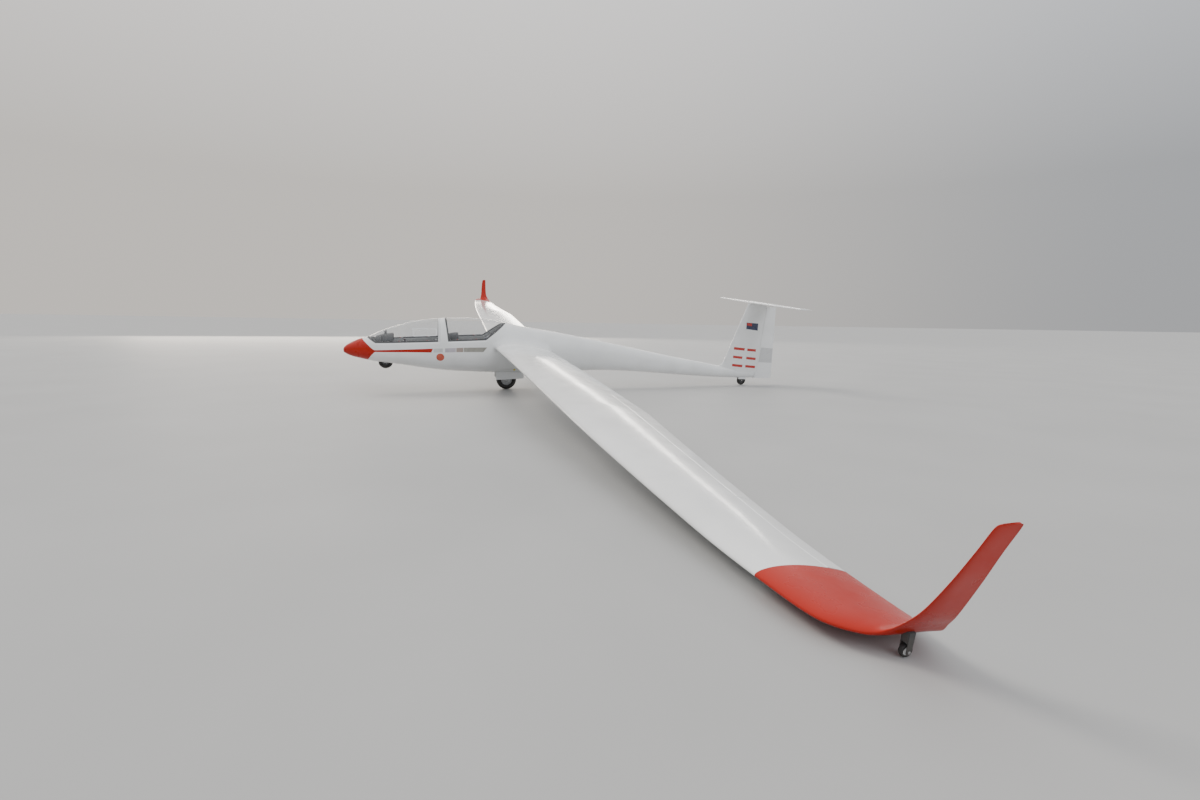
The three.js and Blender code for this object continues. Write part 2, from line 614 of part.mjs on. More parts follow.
// Outline drawn in by a distance on the edges that face the fuselage
function drawnIn(outline, distance) {
  const corners = outline.map(([y, z]) => new THREE.Vector2(y, z));
  const centre = corners.reduce((sum, p) => sum.addScaledVector(p, 1 / corners.length), new THREE.Vector2());
  const edges = corners.map((p, i) => {
    const q = corners[(i + 1) % corners.length];
    const way = q.clone().sub(p).normalize();
    const normal = new THREE.Vector2(way.y, -way.x);
    if (centre.clone().sub(p).dot(normal) < 0) normal.negate();
    const shift = p.y === ABOVE && q.y === ABOVE ? 0 : distance;
    return { point: p.clone().addScaledVector(normal, shift), way };
  });
  return edges.map((edge, i) => {
    const last = edges[(i + edges.length - 1) % edges.length];
    const t = edge.point.clone().sub(last.point).cross(edge.way) / last.way.cross(edge.way);
    return last.point.clone().addScaledVector(last.way, t).toArray();
  });
}

const sideOpening = (outline, distance) => across(drawnIn(outline, distance));

function canopy(outline) {
  const whole = outer.intersect(sideOpening(outline, CANOPY_GAP))
    .subtract(fuselageBody(POD_STATIONS, SKIN));
  const frame = whole.subtract(sideOpening(outline, CANOPY_GAP + FRAME));
  const glass = outer.intersect(sideOpening(outline, CANOPY_GAP + FRAME + SEAT_GAP))
    .subtract(fuselageBody(POD_STATIONS, GLASS));
  return { frame, glass };
}

// Wing stub that grows towards the fuselage: x, stretch of the chord, growth of the thickness
const STUB = [[180, 1.12, 1.3], [290, 1.08, 1.18], [350, 1.02, 1.05], [WING_ROOT - SEAT_GAP, 1, 1]];

function stub(side) {
  const loops = STUB.map(([x, stretch, fatten]) => foilLoop(wingSection(x, { stretch, fatten })));
  return solid(loft(loops.map((loop) => loop.map(([x, y, z]) => [x * side, y, z]))));
}

// Everything between two stations
const slab = (front, back) => block(about(FAR.side), [front, back], [FAR.low, FAR.high]);

function podSolid() {
  const whole = outer.add(stub(1)).add(stub(-1)).subtract(slab(POD_END - 0.01, FAR.back));
  const canopies = Object.values(canopyOutlines).map(across);
  const openings = [cavity(SKIN), ...canopies, box(WELL_MAIN), box(WELL_NOSE)];
  return openings.reduce((rest, opening) => rest.subtract(opening), whole);
}

function boomSolid() {
  return fuselageBody(BOOM_STATIONS).add(stub(1)).add(stub(-1)).subtract(slab(0, POD_END + SEAT_GAP))
    .subtract(rudderRoom()).subtract(box(WELL_TAIL));
}

function fin() {
  const body = solid(loft(FIN_LEVELS.map((z) => foilLoop(finSection(z)))));
  const room = [
    rudderRoom(), fuselageBody(BOOM_STATIONS, -SKIN_GAP), tailBody(SKIN_GAP),
    block(about(FAR.side), [0, FAR.back], [TAILPLANE.z, FAR.high]),
    block(about(FAR.side), [elevatorFront(), FAR.back], [RUDDER.highZ + RUDDER_TOP_ROOM, FAR.high]),
  ];
  return room.reduce((rest, part) => rest.subtract(part), body);
}

// Cockpit fittings. Each is trimmed to the cockpit wall, where it is fixed.
const lining = cavity(SKIN + SEAT_GAP);
const seatShell = (outline) => across(outline).intersect(lining);

function cushion(outline, seat) {
  const under = across(seat);
  return prism(outline, -CUSHION_HALF, CUSHION_HALF).intersect(cavity(SKIN + CUSHION_EDGE))
    .subtract(under).subtract(under.translate([0, -SEAT_GAP, SEAT_GAP]));
}

function panelHood({ half, hood, recessHalf, recess }) {
  return prism(hood, -half, half).subtract(prism(recess, -recessHalf, recessHalf));
}

function panelColumn({ half, front, back, top }, bottom) {
  return block(about(half), [front, back], [bottom, top]);
}

function panelFront() {
  const column = panelColumn(COLUMNS.front, NOSE_BOX.top + SEAT_GAP);
  return panelHood(PANELS.front).intersect(cavity(SKIN + CANOPY_ROOM)).add(column);
}

function panelRear() {
  return panelHood(PANELS.rear).add(panelColumn(COLUMNS.rear, FAR.low)).intersect(lining);
}

function upright({ top, bottom, length }, lean) {
  const cylinder = new THREE.CylinderGeometry(top, bottom, length, ROD_SIDES);
  return cylinder.rotateX(Math.PI / 2 - lean);
}

function controlStick(y) {
  const { lean, baseHalf, baseTop, tube, grip } = STICK;
  const base = block(about(baseHalf), [y - baseHalf, y + baseHalf], [FAR.low, baseTop]).intersect(lining);
  const stem = solid(upright(tube, 0).translate(0, y, tube.z));
  return base.add(stem).add(solid(upright(grip, lean).translate(0, y - grip.ahead, grip.z)));
}

// Main gear: fork, axle and the two doors that hang beside the wheel
// A pair of plates, the same distance to each side
function plates(outline, inner, thick) {
  return prism(outline, inner, inner + thick).add(prism(outline, -inner - thick, -inner));
}

function mainFork() {
  const { y, z, axle } = MAIN;
  const { outer: out, plate, bridge, ahead, behind, pad, below } = MAIN_FORK;
  const roof = WELL_MAIN.top - SEAT_GAP;
  const top = roof - bridge / 2;
  const outline = [[y - pad, z - below], [y + pad, z - below], [y + behind, top], [y - ahead, top]];
  return plates(outline, out - plate, plate)
    .add(block(about(out), [y - ahead, y + behind], [roof - bridge, roof]))
    .subtract(rod(axle + SEAT_GAP, -WELL_MAIN.half, WELL_MAIN.half, y, z));
}

const mainAxle = () => rod(MAIN.axle, -MAIN_FORK.outer - 3, MAIN_FORK.outer + 3, MAIN.y, MAIN.z);

function gearDoor(side) {
  const { outline, thick, lean, x, hingeZ } = DOOR;
  const plate = shell(prism(outline, -thick / 2, thick / 2)).translate(0, 0, -hingeZ);
  plate.rotateY(-side * THREE.MathUtils.degToRad(lean)).translate(side * x, 0, hingeZ);
  return solid(plate).subtract(fuselageBody(POD_STATIONS, -SKIN_GAP));
}

// Nose wheel box with its fork plates, and the tail wheel's fork
function noseBox() {
  const { half, front, back, top, wall, roof } = NOSE_BOX;
  const inside = { half: half - wall, front: front + wall, back: back - wall, top: top - roof };
  const { y, z, axle, half: tyreHalf } = NOSE;
  const { plate, pad, below, foot, footZ } = NOSE_FORK;
  const inner = tyreHalf + NOSE_WHEEL_SIDE;
  const outline = [[y - pad, z - below], [y + pad, z - below], [y + foot, footZ], [y - foot, footZ]];
  return box(NOSE_BOX).subtract(box(inside)).intersect(lining)
    .add(plates(outline, inner, plate)).add(rod(axle, -inner - plate, inner + plate, y, z));
}

function tailFork() {
  const { y, z, axle } = TAIL;
  const { outer: out, plate, top, bridge, half, inset, outline } = TAIL_FORK;
  const roof = WELL_TAIL.top - top;
  return plates(outline.map(([ahead, height]) => [y + ahead, height]), out - plate, plate)
    .add(block(about(out), [y - half, y + half], [WELL_TAIL.top - bridge, roof]))
    .add(rod(axle, -out + inset, out - inset, y, z));
}

// Scene graph. A pivot's own X axis is its hinge line, or its Z axis where it slides.
const aircraft = new THREE.Group();

function mesh(name, body, material, parent = aircraft) {
  const geometry = shell(body).applyMatrix4(toLocal(parent));
  const item = new THREE.Mesh(geometry, material);
  item.name = name;
  parent.add(item);
  return item;
}

function toLocal(group) {
  group.updateMatrix();
  return group === aircraft ? new THREE.Matrix4() : group.matrix.clone().invert();
}

function pivot(name, at, axis) {
  const group = new THREE.Group();
  group.name = name;
  group.position.copy(at);
  group.quaternion.setFromUnitVectors(SIDEWAYS, axis.clone().normalize());
  aircraft.add(group);
  return group;
}

const mirrored = (body) => body.mirror([1, 0, 0]);
const SIDES = [['port', 1], ['starboard', -1]];
const sided = (body, side) => (side > 0 ? body : mirrored(body));
const flipX = (v, side) => v.clone().multiply(vector([side, 1, 1]));

mesh('fuselage_pod', podSolid(), WHITE);
mesh('tail_boom', boomSolid(), WHITE);

const FORWARD = vector([0, -1, 0]);
const rudderLine = hingeLine(vector([0, hingeY(0), 0]), vector([0, hingeY(1000), 1000]), FORWARD);
const rudderNose = (station) => noseRadius(finSection(station), rudderShare(station));
const tail = hinged(fin(), rudder(), rudderLine, ARM_STATIONS.rudder, rudderNose, LIMITS.rudder);
mesh('fin', tail.main, WHITE);
mesh('rudder', tail.surface, WHITE, pivot('rudder_hinge', rudderLine.from, rudderLine.axis));

const [elevatorFrom, elevatorTo] = [0, 1].map((x) => vector([x, ELEVATOR.hinge, TAILPLANE.z]));
const elevatorLine = hingeLine(elevatorFrom, elevatorTo, FORWARD);
const elevatorNose = (station) => noseRadius(tailSection(station), elevatorShare(station));
const fixedTail = tailBody().subtract(elevatorRoom());
const tailTop = hinged(fixedTail, elevator(), elevatorLine, ARM_STATIONS.elevator, elevatorNose,
  LIMITS.elevator);
mesh('tailplane', tailTop.main, WHITE);
mesh('elevator', tailTop.surface, WHITE, pivot('elevator_hinge', elevatorLine.from, elevatorLine.axis));

// Port wing and ailerons with their hinge arms and slots
let wing = wingPanel();
const ailerons = {};
for (const [place, span] of Object.entries(AILERON_SPANS)) {
  const [from, to] = span.map((x) => middle(wingSection(x), aileronShare(x)));
  const line = hingeLine(from, to, FORWARD);
  const nose = (station) => noseRadius(wingSection(span[0] + station), aileronShare(span[0] + station));
  const joined = hinged(wing, aileron(span), line, ARM_STATIONS[place], nose, LIMITS.aileron);
  wing = joined.main;
  ailerons[place] = { line, body: joined.surface };
}

for (const [name, side] of SIDES) {
  mesh(`wing_${name}`, sided(wing, side), WHITE);
  mesh(`wingtip_${name}`, sided(wingtip(), side), RED);
  for (const [place, { line, body }] of Object.entries(ailerons)) {
    const axis = flipX(line.axis, side).multiplyScalar(side);
    const hinge = pivot(`aileron_${name}_${place}_hinge`, flipX(line.from, side), axis);
    mesh(`aileron_${name}_${place}`, sided(body, side), WHITE, hinge);
  }
  const slide = new THREE.Group();
  slide.name = `airbrake_${name}_slide`;
  const turn = new THREE.Matrix4().extractRotation(airbrakeFrame());
  const at = new THREE.Vector3().setFromMatrixPosition(airbrakeFrame());
  slide.position.copy(flipX(at, side));
  const normal = flipX(new THREE.Vector3(0, 0, 1).applyMatrix4(turn), side);
  slide.quaternion.setFromUnitVectors(UP, normal);
  aircraft.add(slide);
  mesh(`airbrake_${name}`, sided(placed(airbrakeBlade(), airbrakeFrame()), side), WHITE, slide);
  mesh(`tip_fork_${name}`, sided(tipFork(), side), GREY);
  const { x, y, z, radius, half, axle } = TIP_WHEEL;
  const tipAxis = pivot(`tip_wheel_${name}_axle`, vector([side * x, y, z]), SIDEWAYS);
  const outline = [[axle + BORE_GAP, half], [radius - CROWN.tip, half], [radius, half / 2]];
  const roller = turned(bothSides(outline), x, y, z);
  mesh(`tip_wheel_${name}`, sided(roller, side), RUBBER, tipAxis);
}

const CANOPY_HINGES = { front: CANOPY_HINGE_FRONT, rear: CANOPY_HINGE_REAR };
for (const [place, outline] of Object.entries(canopyOutlines)) {
  const { x, y, z } = CANOPY_HINGES[place];
  const hinge = pivot(`canopy_${place}_hinge`, vector([x, y, z]), vector([0, -1, 0]));
  const { frame, glass } = canopy(outline);
  mesh(`canopy_${place}_frame`, frame, FRAME_PAINT, hinge);
  mesh(`canopy_${place}_glass`, glass, CLEAR, hinge);
  mesh(`seat_${place}`, seatShell(SEATS[place]), GREY);
  mesh(`cushion_${place}`, cushion(CUSHIONS[place], SEATS[place]), CLOTH);
}
mesh('instrument_panel_front', panelFront(), BLACK);
mesh('instrument_panel_rear', panelRear(), BLACK);
mesh('stick_front', controlStick(STICK.front), BLACK);
mesh('stick_rear', controlStick(STICK.rear), BLACK);

mesh('main_gear_fork', mainFork(), GREY);
mesh('main_axle', mainAxle(), ALLOY);
mesh('gear_door_port', gearDoor(1), WHITE);
mesh('gear_door_starboard', gearDoor(-1), WHITE);
mesh('nose_wheel_box', noseBox(), GREY);
mesh('tail_wheel_fork', tailFork(), WHITE);
for (const [name, size] of Object.entries({ main: MAIN, nose: NOSE, tail: TAIL })) {
  const axle = pivot(`${name}_wheel_axle`, vector([0, size.y, size.z]), SIDEWAYS);
  const { tyre, rim } = wheel(size);
  mesh(`${name}_tyre`, tyre, RUBBER, axle);
  mesh(`${name}_rim`, rim, ALLOY, axle);
}

// Parked attitude: the plane that touches the crowns of the three wheels is the ground,
// and the nose points along +Y
const CROWNS = [[MAIN, CROWN.main], [TAIL, CROWN.tail], [TIP_WHEEL, CROWN.tip]].map(
  ([{ x = 0, y, z, radius }, crown]) => ({ hub: vector([x, y, z]), ring: radius - crown, crown }));

function groundNormal() {
  let normal = UP.clone();
  for (let round = 0; round < 6; round++) {
    const [main, tail, tip] = CROWNS.map(({ hub, ring, crown }) => {
      const down = vector([0, normal.y, normal.z]).normalize();
      return hub.clone().addScaledVector(down, -ring).addScaledVector(normal, -crown);
    });
    normal = tip.sub(main).cross(tail.sub(main)).normalize();
  }
  return normal;
}

aircraft.quaternion.setFromUnitVectors(groundNormal(), UP);
aircraft.quaternion.premultiply(new THREE.Quaternion().setFromAxisAngle(UP, Math.PI));
const glider = new THREE.Group();
glider.add(aircraft);
const bounds = new THREE.Box3().setFromObject(glider, true);
const centre = bounds.getCenter(new THREE.Vector3());
glider.position.set(-centre.x, -centre.y, -bounds.min.z);

export default glider;
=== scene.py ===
# Two-seat T-tail sailplane, parked with its port wing tip down.
# Shapes are worked out in the aircraft's own frame, in millimetres: X to port, Y aft from
# the nose tip, Z up. placed() turns them into the row frame, in metres.
import json
import math
import bmesh
import bpy
import numpy as np
from mathutils import Matrix, Vector
from mathutils.bvhtree import BVHTree


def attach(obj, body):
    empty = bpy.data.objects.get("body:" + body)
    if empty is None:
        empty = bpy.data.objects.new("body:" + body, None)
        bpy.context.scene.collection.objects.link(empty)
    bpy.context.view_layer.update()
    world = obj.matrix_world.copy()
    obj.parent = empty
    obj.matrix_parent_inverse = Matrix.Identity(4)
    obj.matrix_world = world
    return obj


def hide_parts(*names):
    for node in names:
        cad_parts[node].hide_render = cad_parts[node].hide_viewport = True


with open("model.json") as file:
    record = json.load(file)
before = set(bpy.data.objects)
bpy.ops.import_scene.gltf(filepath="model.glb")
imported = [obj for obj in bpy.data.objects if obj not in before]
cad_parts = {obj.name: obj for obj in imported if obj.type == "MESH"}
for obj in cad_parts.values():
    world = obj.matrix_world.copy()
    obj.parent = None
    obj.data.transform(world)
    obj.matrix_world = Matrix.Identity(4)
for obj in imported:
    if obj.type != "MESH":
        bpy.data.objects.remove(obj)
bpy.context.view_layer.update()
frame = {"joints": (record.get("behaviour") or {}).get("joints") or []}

# Attitude of the parked aircraft, from joints whose place in its own frame is known
JOINTS = {j["name"]: j for j in frame["joints"]}
MAIN = dict(y=2918, z=-490, radius=190, half=72, rim=105, axle=14)
NOSE = dict(y=710, z=-194, radius=125, half=42, rim=66, axle=9)
TAIL = dict(y=8087, z=-428, radius=100, half=25, rim=52, axle=8)
TIP_WHEEL = dict(x=9495, y=3295, z=357, radius=30, half=11, axle=4)
to_port = np.array(JOINTS["main_wheel_axle"]["axis"])
to_tail = -np.array(JOINTS["canopy_front_hinge"]["axis"])
TURN = np.column_stack([to_port, to_tail, np.cross(to_port, to_tail)])
SHIFT = np.array(JOINTS["main_wheel_axle"]["pos_m"]) - TURN @ np.array([0, MAIN["y"], MAIN["z"]]) / 1000

# Fuselage stations: y, half width, top z, z of the widest line, bottom z
FUSELAGE = np.array([
    [0, 0, 3.5, 3.5, 3.5], [3, 26, 30, 4, -24], [30, 66, 70, 6, -52], [90, 112, 117, 10, -82],
    [180, 160, 167, 16, -112], [293, 205, 218, 22, -138], [404, 240, 250, 28, -160],
    [618, 290, 360, 40, -196], [960, 328, 492, 50, -230], [1307, 350, 590, 60, -275],
    [1687, 362, 642, 70, -316], [2019, 367, 667, 80, -334], [2386, 366, 667, 90, -344],
    [2862, 350, 607, 90, -346], [3145, 330, 558, 90, -342], [3538, 296, 506, 85, -328],
    [3940, 258, 454, 78, -305], [4350, 224, 390, 60, -283], [4773, 196, 324, 40, -268],
    [5647, 160, 179, -45, -281], [6565, 132, 25, -145, -328], [7283, 112, -82, -220, -358],
    [7560, 100, -127, -245, -367], [8020, 72, -150, -262, -368], [8480, 40, -170, -266, -362],
])
LOWER_SQUARENESS = 2.2
SKIN = 14
GLASS = 4
CANOPY_GAP = 2.5
CANOPY_FRAME = 26
ABOVE = 900
NOSE_EDGE, SILL_FRONT, SILL_DIVIDER = [404, 249], [556, 172], [1655, 247]
REAR_TOP_FRONT, SILL_REAR_FRONT, SILL_REAR, REAR_TOP = [1742, 660], [1800, 256], [2480, 304], [2866, 612]
OUTLINES = {
    "front": [[NOSE_EDGE[0], ABOVE], NOSE_EDGE, SILL_FRONT, SILL_DIVIDER, [SILL_DIVIDER[0], ABOVE]],
    "rear": [[REAR_TOP_FRONT[0], ABOVE], REAR_TOP_FRONT, SILL_REAR_FRONT, SILL_REAR, REAR_TOP,
             [REAR_TOP[0], ABOVE]],
}

# Wing and tail laws
WING_LE = dict(y=2637, slope=0.0251, bend=8.85e-6, bend_from=5150)
WING_Z = dict(root=159.3, slope=0.0366, sag=1.85e-6, tip=4.66e-5, tip_from=8240)
WING_CHORD = np.array([[371, 1055.6], [5459, 949.1], [8858, 546.6], [9682, 437]])
TRAILING_DROP = 31
WING_ROOT, WING_TIP = 400, 8858
WING_THICKNESS = (0.155, 0.13)
CAMBER = 0.028
TIP = [
    [[9150, 3010, 374], [9150, 3517, 345], 3, 0.125], [[9300, 3045, 387], [9300, 3505, 362], 8, 0.12],
    [[9400, 3120, 400], [9420, 3482, 388], 20, 0.12], [[9445, 3176, 416], [9475, 3460, 412], 35, 0.12],
    [[9480, 3208, 450], [9520, 3440, 446], 52, 0.12], [[9530, 3220, 512], [9558, 3415, 502], 66, 0.11],
    [[9585, 3235, 600], [9600, 3398, 575], 71.7, 0.11], [[9655, 3246, 755], [9665, 3388, 745], 71.7, 0.11],
    [[9710, 3262, 907], [9716, 3385, 900], 71.7, 0.1], [[9740, 3281, 1010], [9757, 3385, 1018], 71.7, 0.1],
    [[9748, 3305, 1030], [9762, 3372, 1034], 71.7, 0.06],
]
AILERON_LINE = ((4720, 3534), (8850, 3417))
AILERON_SPANS = {"inner": (4720, 7866), "outer": (7874, 8850)}
BRAKE = dict(start=3000, end=4350, chord=0.53, cap=34, depth=110)
FIN = dict(low=-330, high=1262, root_z=-127, root_y=7557, top_z=1244, top_y=8025, thick=(0.112, 0.12))
RUDDER = dict(low=-366, high=1196, low_hinge=8404, high_hinge=8482, low_tail=8827, high_tail=8713)
TAILPLANE = dict(z=1268, root_le=8050, root_te=8572, tip_le=8190, tip_te=8470, half=1600, thick=0.11)
ELEVATOR = dict(hinge=8400, half=1556)
HINGE_GAP = 6.5
# How far the lips of a cove end ahead of the hinge, and how thick they are
LIP_GAP = 10.5
RUDDER_LIP_GAP = 20
LIP = 1.6


def placed(points):
    return np.asarray(points, float).reshape(-1, 3) / 1000 @ TURN.T + SHIFT


# Materials
def material(name, color, roughness, **sockets):
    m = bpy.data.materials.new(name)
    m.use_nodes = True
    shader = m.node_tree.nodes["Principled BSDF"]
    shader.inputs["Base Color"].default_value = (*color, 1)
    shader.inputs["Roughness"].default_value = roughness
    for key, value in sockets.items():
        shader.inputs[key.replace("_", " ").title().replace("Ior", "IOR")].default_value = value
    return m


def noise(m, scale, detail=3, stretch=(1, 1, 1)):
    """Noise over the object's own coordinates, in metres."""
    nodes, links = m.node_tree.nodes, m.node_tree.links
    place = nodes.new("ShaderNodeTexCoord")
    squeeze = nodes.new("ShaderNodeMapping")
    squeeze.inputs["Scale"].default_value = stretch
    grain = nodes.new("ShaderNodeTexNoise")
    grain.inputs["Scale"].default_value = scale
    grain.inputs["Detail"].default_value = detail
    links.new(place.outputs["Object"], squeeze.inputs["Vector"])
    links.new(squeeze.outputs["Vector"], grain.inputs["Vector"])
    return grain.outputs["Fac"]


def vary(m, socket, signal, low, high, at=(0.3, 0.7)):
    """Lets a signal move a socket between two values, or two colours."""
    nodes, links = m.node_tree.nodes, m.node_tree.links
    shader = nodes["Principled BSDF"]
    if isinstance(low, tuple):
        ramp = nodes.new("ShaderNodeValToRGB")
        for stop, place, color in zip(ramp.color_ramp.elements, at, (low, high)):
            stop.position = place
            stop.color = (*color, 1)
        links.new(signal, ramp.inputs["Fac"])
        links.new(ramp.outputs["Color"], shader.inputs[socket])
    else:
        spread = nodes.new("ShaderNodeMapRange")
        for key, value in zip(("From Min", "From Max", "To Min", "To Max"), (*at, low, high)):
            spread.inputs[key].default_value = value
        links.new(signal, spread.inputs["Value"])
        links.new(spread.outputs["Result"], shader.inputs[socket])


def bump(m, signal, strength, distance):
    nodes, links = m.node_tree.nodes, m.node_tree.links
    bumps = nodes.new("ShaderNodeBump")
    bumps.inputs["Strength"].default_value = strength
    bumps.inputs["Distance"].default_value = distance
    links.new(signal, bumps.inputs["Height"])
    links.new(bumps.outputs["Normal"], nodes["Principled BSDF"].inputs["Normal"])


def paint(name, color, dull, roughness=0.16, coat=0.6, shine=0.5):
    """Polished gel coat: faint dust, slight waviness of the gloss."""
    m = material(name, color, roughness, coat_weight=coat, coat_roughness=0.09, specular_ior_level=shine)
    vary(m, "Base Color", noise(m, 2.2, 5), dull, color, (0.2, 0.62))
    vary(m, "Roughness", noise(m, 6, 4), roughness * 0.75, roughness * 1.7)
    bump(m, noise(m, 90, 2), 0.04, 0.0008)
    return m


def surface(name, color, roughness, tone=None, wear=None, grain=None, **sockets):
    """Material whose colour, roughness and relief follow noises. Each noise has scale, detail, two values
    and at times a stretch. The values are the limits of colour and roughness, or strength and depth."""
    m = material(name, color, roughness, **sockets)
    for socket, spec in (("Base Color", tone), ("Roughness", wear)):
        if spec:
            scale, detail, low, high, *stretch = spec
            vary(m, socket, noise(m, scale, detail, *stretch), low, high)
    if grain:
        scale, detail, strength, depth, *stretch = grain
        bump(m, noise(m, scale, detail, *stretch), strength, depth)
    return m


def even(value):
    return (value, value, value)


WHITE = paint("white_gelcoat", (0.86, 0.865, 0.86), (0.77, 0.775, 0.765))
RED = paint("red_gelcoat", (0.42, 0.013, 0.003), (0.375, 0.012, 0.003), 0.26, 0.15, 0.25)
MARKING_RED = paint("red_marking", (0.5, 0.022, 0.012), (0.45, 0.02, 0.012), 0.26)
NAVY = paint("navy_marking", (0.012, 0.022, 0.075), (0.016, 0.026, 0.07), 0.26)
BAND_GREY = paint("grey_band", (0.33, 0.32, 0.28), (0.28, 0.27, 0.24), 0.24)
PALE_GREY = paint("pale_band", even(0.6), even(0.54), 0.24)
LILAC = paint("lilac_band", (0.5, 0.46, 0.5), (0.45, 0.42, 0.45), 0.24)
BROWN_GREY = paint("brown_band", (0.36, 0.29, 0.25), (0.32, 0.26, 0.23), 0.24)
DISC_RED = paint("badge_red", (0.55, 0.09, 0.045), (0.48, 0.08, 0.04), 0.26)
YELLOW = paint("yellow_disc_colour", (0.8, 0.68, 0.05), (0.7, 0.58, 0.05), 0.3)
FRAME_GREY = paint("canopy_frame_lining", (0.09, 0.09, 0.093), (0.07, 0.07, 0.072), 0.4, 0.1)
# Near-black cove faces: painted shade in the gaps before the ailerons, rudder and elevator
COVE_SHADE = surface("cove_painted_shade", even(0.09), 0.7, wear=(20, 4, 0.6, 0.8))
FRAME_WHITE = paint("canopy_frame_paint", (0.84, 0.845, 0.84), (0.78, 0.78, 0.77), 0.2)
LINING = surface("cockpit_lining", (0.36, 0.36, 0.355), 0.7, (30, 7, (0.3, 0.3, 0.297), (0.345, 0.345, 0.34)),
                 (40, 4, 0.6, 0.8), (600, 3, 0.4, 0.0006))
WELL = surface("well_paint", (0.5, 0.5, 0.48), 0.55, (12, 6, (0.3, 0.28, 0.25), (0.55, 0.55, 0.53)))
GEAR = surface("gear_steel_paint", (0.55, 0.56, 0.56), 0.42, (14, 6, (0.42, 0.42, 0.41), (0.6, 0.61, 0.61)),
               (30, 4, 0.32, 0.55), metallic=0.15)
DARK_GEAR = surface("dark_gear_paint", (0.06, 0.06, 0.062), 0.5,
                    (14, 6, (0.075, 0.07, 0.065), (0.05, 0.05, 0.052)), (30, 4, 0.4, 0.6))
# Rims of the nose and tail wheels darkened: painted shade for the shadowed wheels
SHADED_RIM = surface("wheel_rim_painted_shade", (0.13, 0.13, 0.135), 0.42, wear=(45, 5, 0.34, 0.55), metallic=0.5)
STEEL = surface("bright_steel", (0.62, 0.62, 0.61), 0.3, wear=(60, 5, 0.2, 0.42), metallic=1.0)
ALLOY = surface("cast_alloy", (0.66, 0.67, 0.68), 0.38, (20, 5, even(0.45), (0.72, 0.73, 0.74)),
                (45, 5, 0.28, 0.5), (900, 3, 0.2, 0.0004), metallic=0.9)
RUBBER = surface("tyre_rubber_black", (0.025, 0.025, 0.026), 0.72,
                 (18, 7, (0.045, 0.041, 0.036), (0.02, 0.02, 0.021)), (40, 5, 0.6, 0.85), (500, 4, 0.3, 0.0006))
SHELL = surface("seat_shell_grey", (0.2, 0.205, 0.21), 0.5, (12, 6, (0.17, 0.173, 0.178), (0.235, 0.24, 0.245)),
                (25, 4, 0.4, 0.62), (420, 3, 0.25, 0.0006))
PANEL_BLACK = surface("panel_black", (0.022, 0.022, 0.024), 0.6,
                      (20, 6, (0.018, 0.018, 0.02), (0.034, 0.034, 0.036)), grain=(900, 3, 0.5, 0.0005))
BOARD = surface("panel_face_grey", (0.09, 0.093, 0.098), 0.45,
                (16, 6, (0.08, 0.083, 0.087), (0.11, 0.113, 0.118)), grain=(1100, 2, 0.3, 0.0003))
DIAL_BLACK = surface("dial_face_black", (0.01, 0.01, 0.011), 0.35, wear=(50, 3, 0.28, 0.42))
DIAL_WHITE = surface("dial_mark_white", (0.85, 0.85, 0.82), 0.5, wear=(60, 3, 0.4, 0.6))
CLOTH = surface("cushion_cloth", (0.07, 0.085, 0.12), 0.92, (420, 6, (0.06, 0.072, 0.103), (0.088, 0.104, 0.142)),
                grain=(1400, 4, 0.6, 0.0007), sheen_weight=0.25)
WEBBING = surface("harness_webbing", (0.03, 0.05, 0.14), 0.8,
                  (700, 4, (0.022, 0.036, 0.105), (0.042, 0.066, 0.18), (1, 6, 1)),
                  grain=(1500, 3, 0.6, 0.0005, (1, 4, 1)), sheen_weight=0.2)
KNOB_COLORS = {"blue": (0.02, 0.09, 0.5), "yellow": (0.8, 0.56, 0.02), "green": (0.03, 0.3, 0.07),
               "red": (0.6, 0.02, 0.015), "black": even(0.02)}
KNOBS = {name: paint(f"knob_{name}", color, tuple(0.85 * c for c in color), 0.3)
         for name, color in KNOB_COLORS.items()}
GRIP = surface("grip_rubber", (0.03, 0.03, 0.031), 0.75, wear=(90, 4, 0.6, 0.85), grain=(700, 3, 0.4, 0.0006))
RAIL = surface("window_rail", (0.86, 0.87, 0.88), 0.22, wear=(30, 3, 0.16, 0.3))



def acrylic():
    """Acrylic sheet: a thin reflecting film whose cover grows with the angle, the same from both sides."""
    m = material("canopy_acrylic", (0.95, 0.97, 0.98), 0.02, metallic=1.0)
    nodes, links = m.node_tree.nodes, m.node_tree.links
    slant = nodes.new("ShaderNodeLayerWeight")
    slant.inputs["Blend"].default_value = 0.5
    steep = nodes.new("ShaderNodeMath")
    steep.operation = "POWER"
    steep.inputs[1].default_value = 4.0
    links.new(slant.outputs["Facing"], steep.inputs[0])
    vary(m, "Alpha", steep.outputs["Value"], 0.05, 0.9, (0.0, 1.0))
    vary(m, "Roughness", noise(m, 3, 4), 0.012, 0.045)
    return m


ACRYLIC = acrylic()


# Mesh helpers
def piece(name, points, faces, materials, body, replaces=(), slot=None, sharp=32, face_slots=None, weld=0.02):
    """A mesh in the aircraft frame that rides on a body."""
    mesh = bpy.data.meshes.new(name)
    mesh.from_pydata([tuple(p) for p in placed(points)], [], [tuple(int(i) for i in f) for f in faces])
    for m in materials if isinstance(materials, (list, tuple)) else [materials]:
        mesh.materials.append(m)
    if face_slots is not None:
        mesh.polygons.foreach_set("material_index", list(face_slots))
    obj = bpy.data.objects.new(name, mesh)
    bpy.context.scene.collection.objects.link(obj)
    cleaned(obj, weld / 1000)
    mesh.shade_smooth()
    mesh.set_sharp_from_angle(angle=math.radians(sharp))
    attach(obj, body)
    if replaces:
        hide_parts(*replaces)
    return obj


def cleaned(obj, weld):
    """Welds the seams, drops faces of no area and turns the faces out."""
    b = bmesh.new()
    b.from_mesh(obj.data)
    bmesh.ops.remove_doubles(b, verts=b.verts, dist=weld)
    bmesh.ops.dissolve_degenerate(b, dist=weld / 4, edges=b.edges)
    bmesh.ops.recalc_face_normals(b, faces=b.faces)
    b.to_mesh(obj.data)
    b.free()


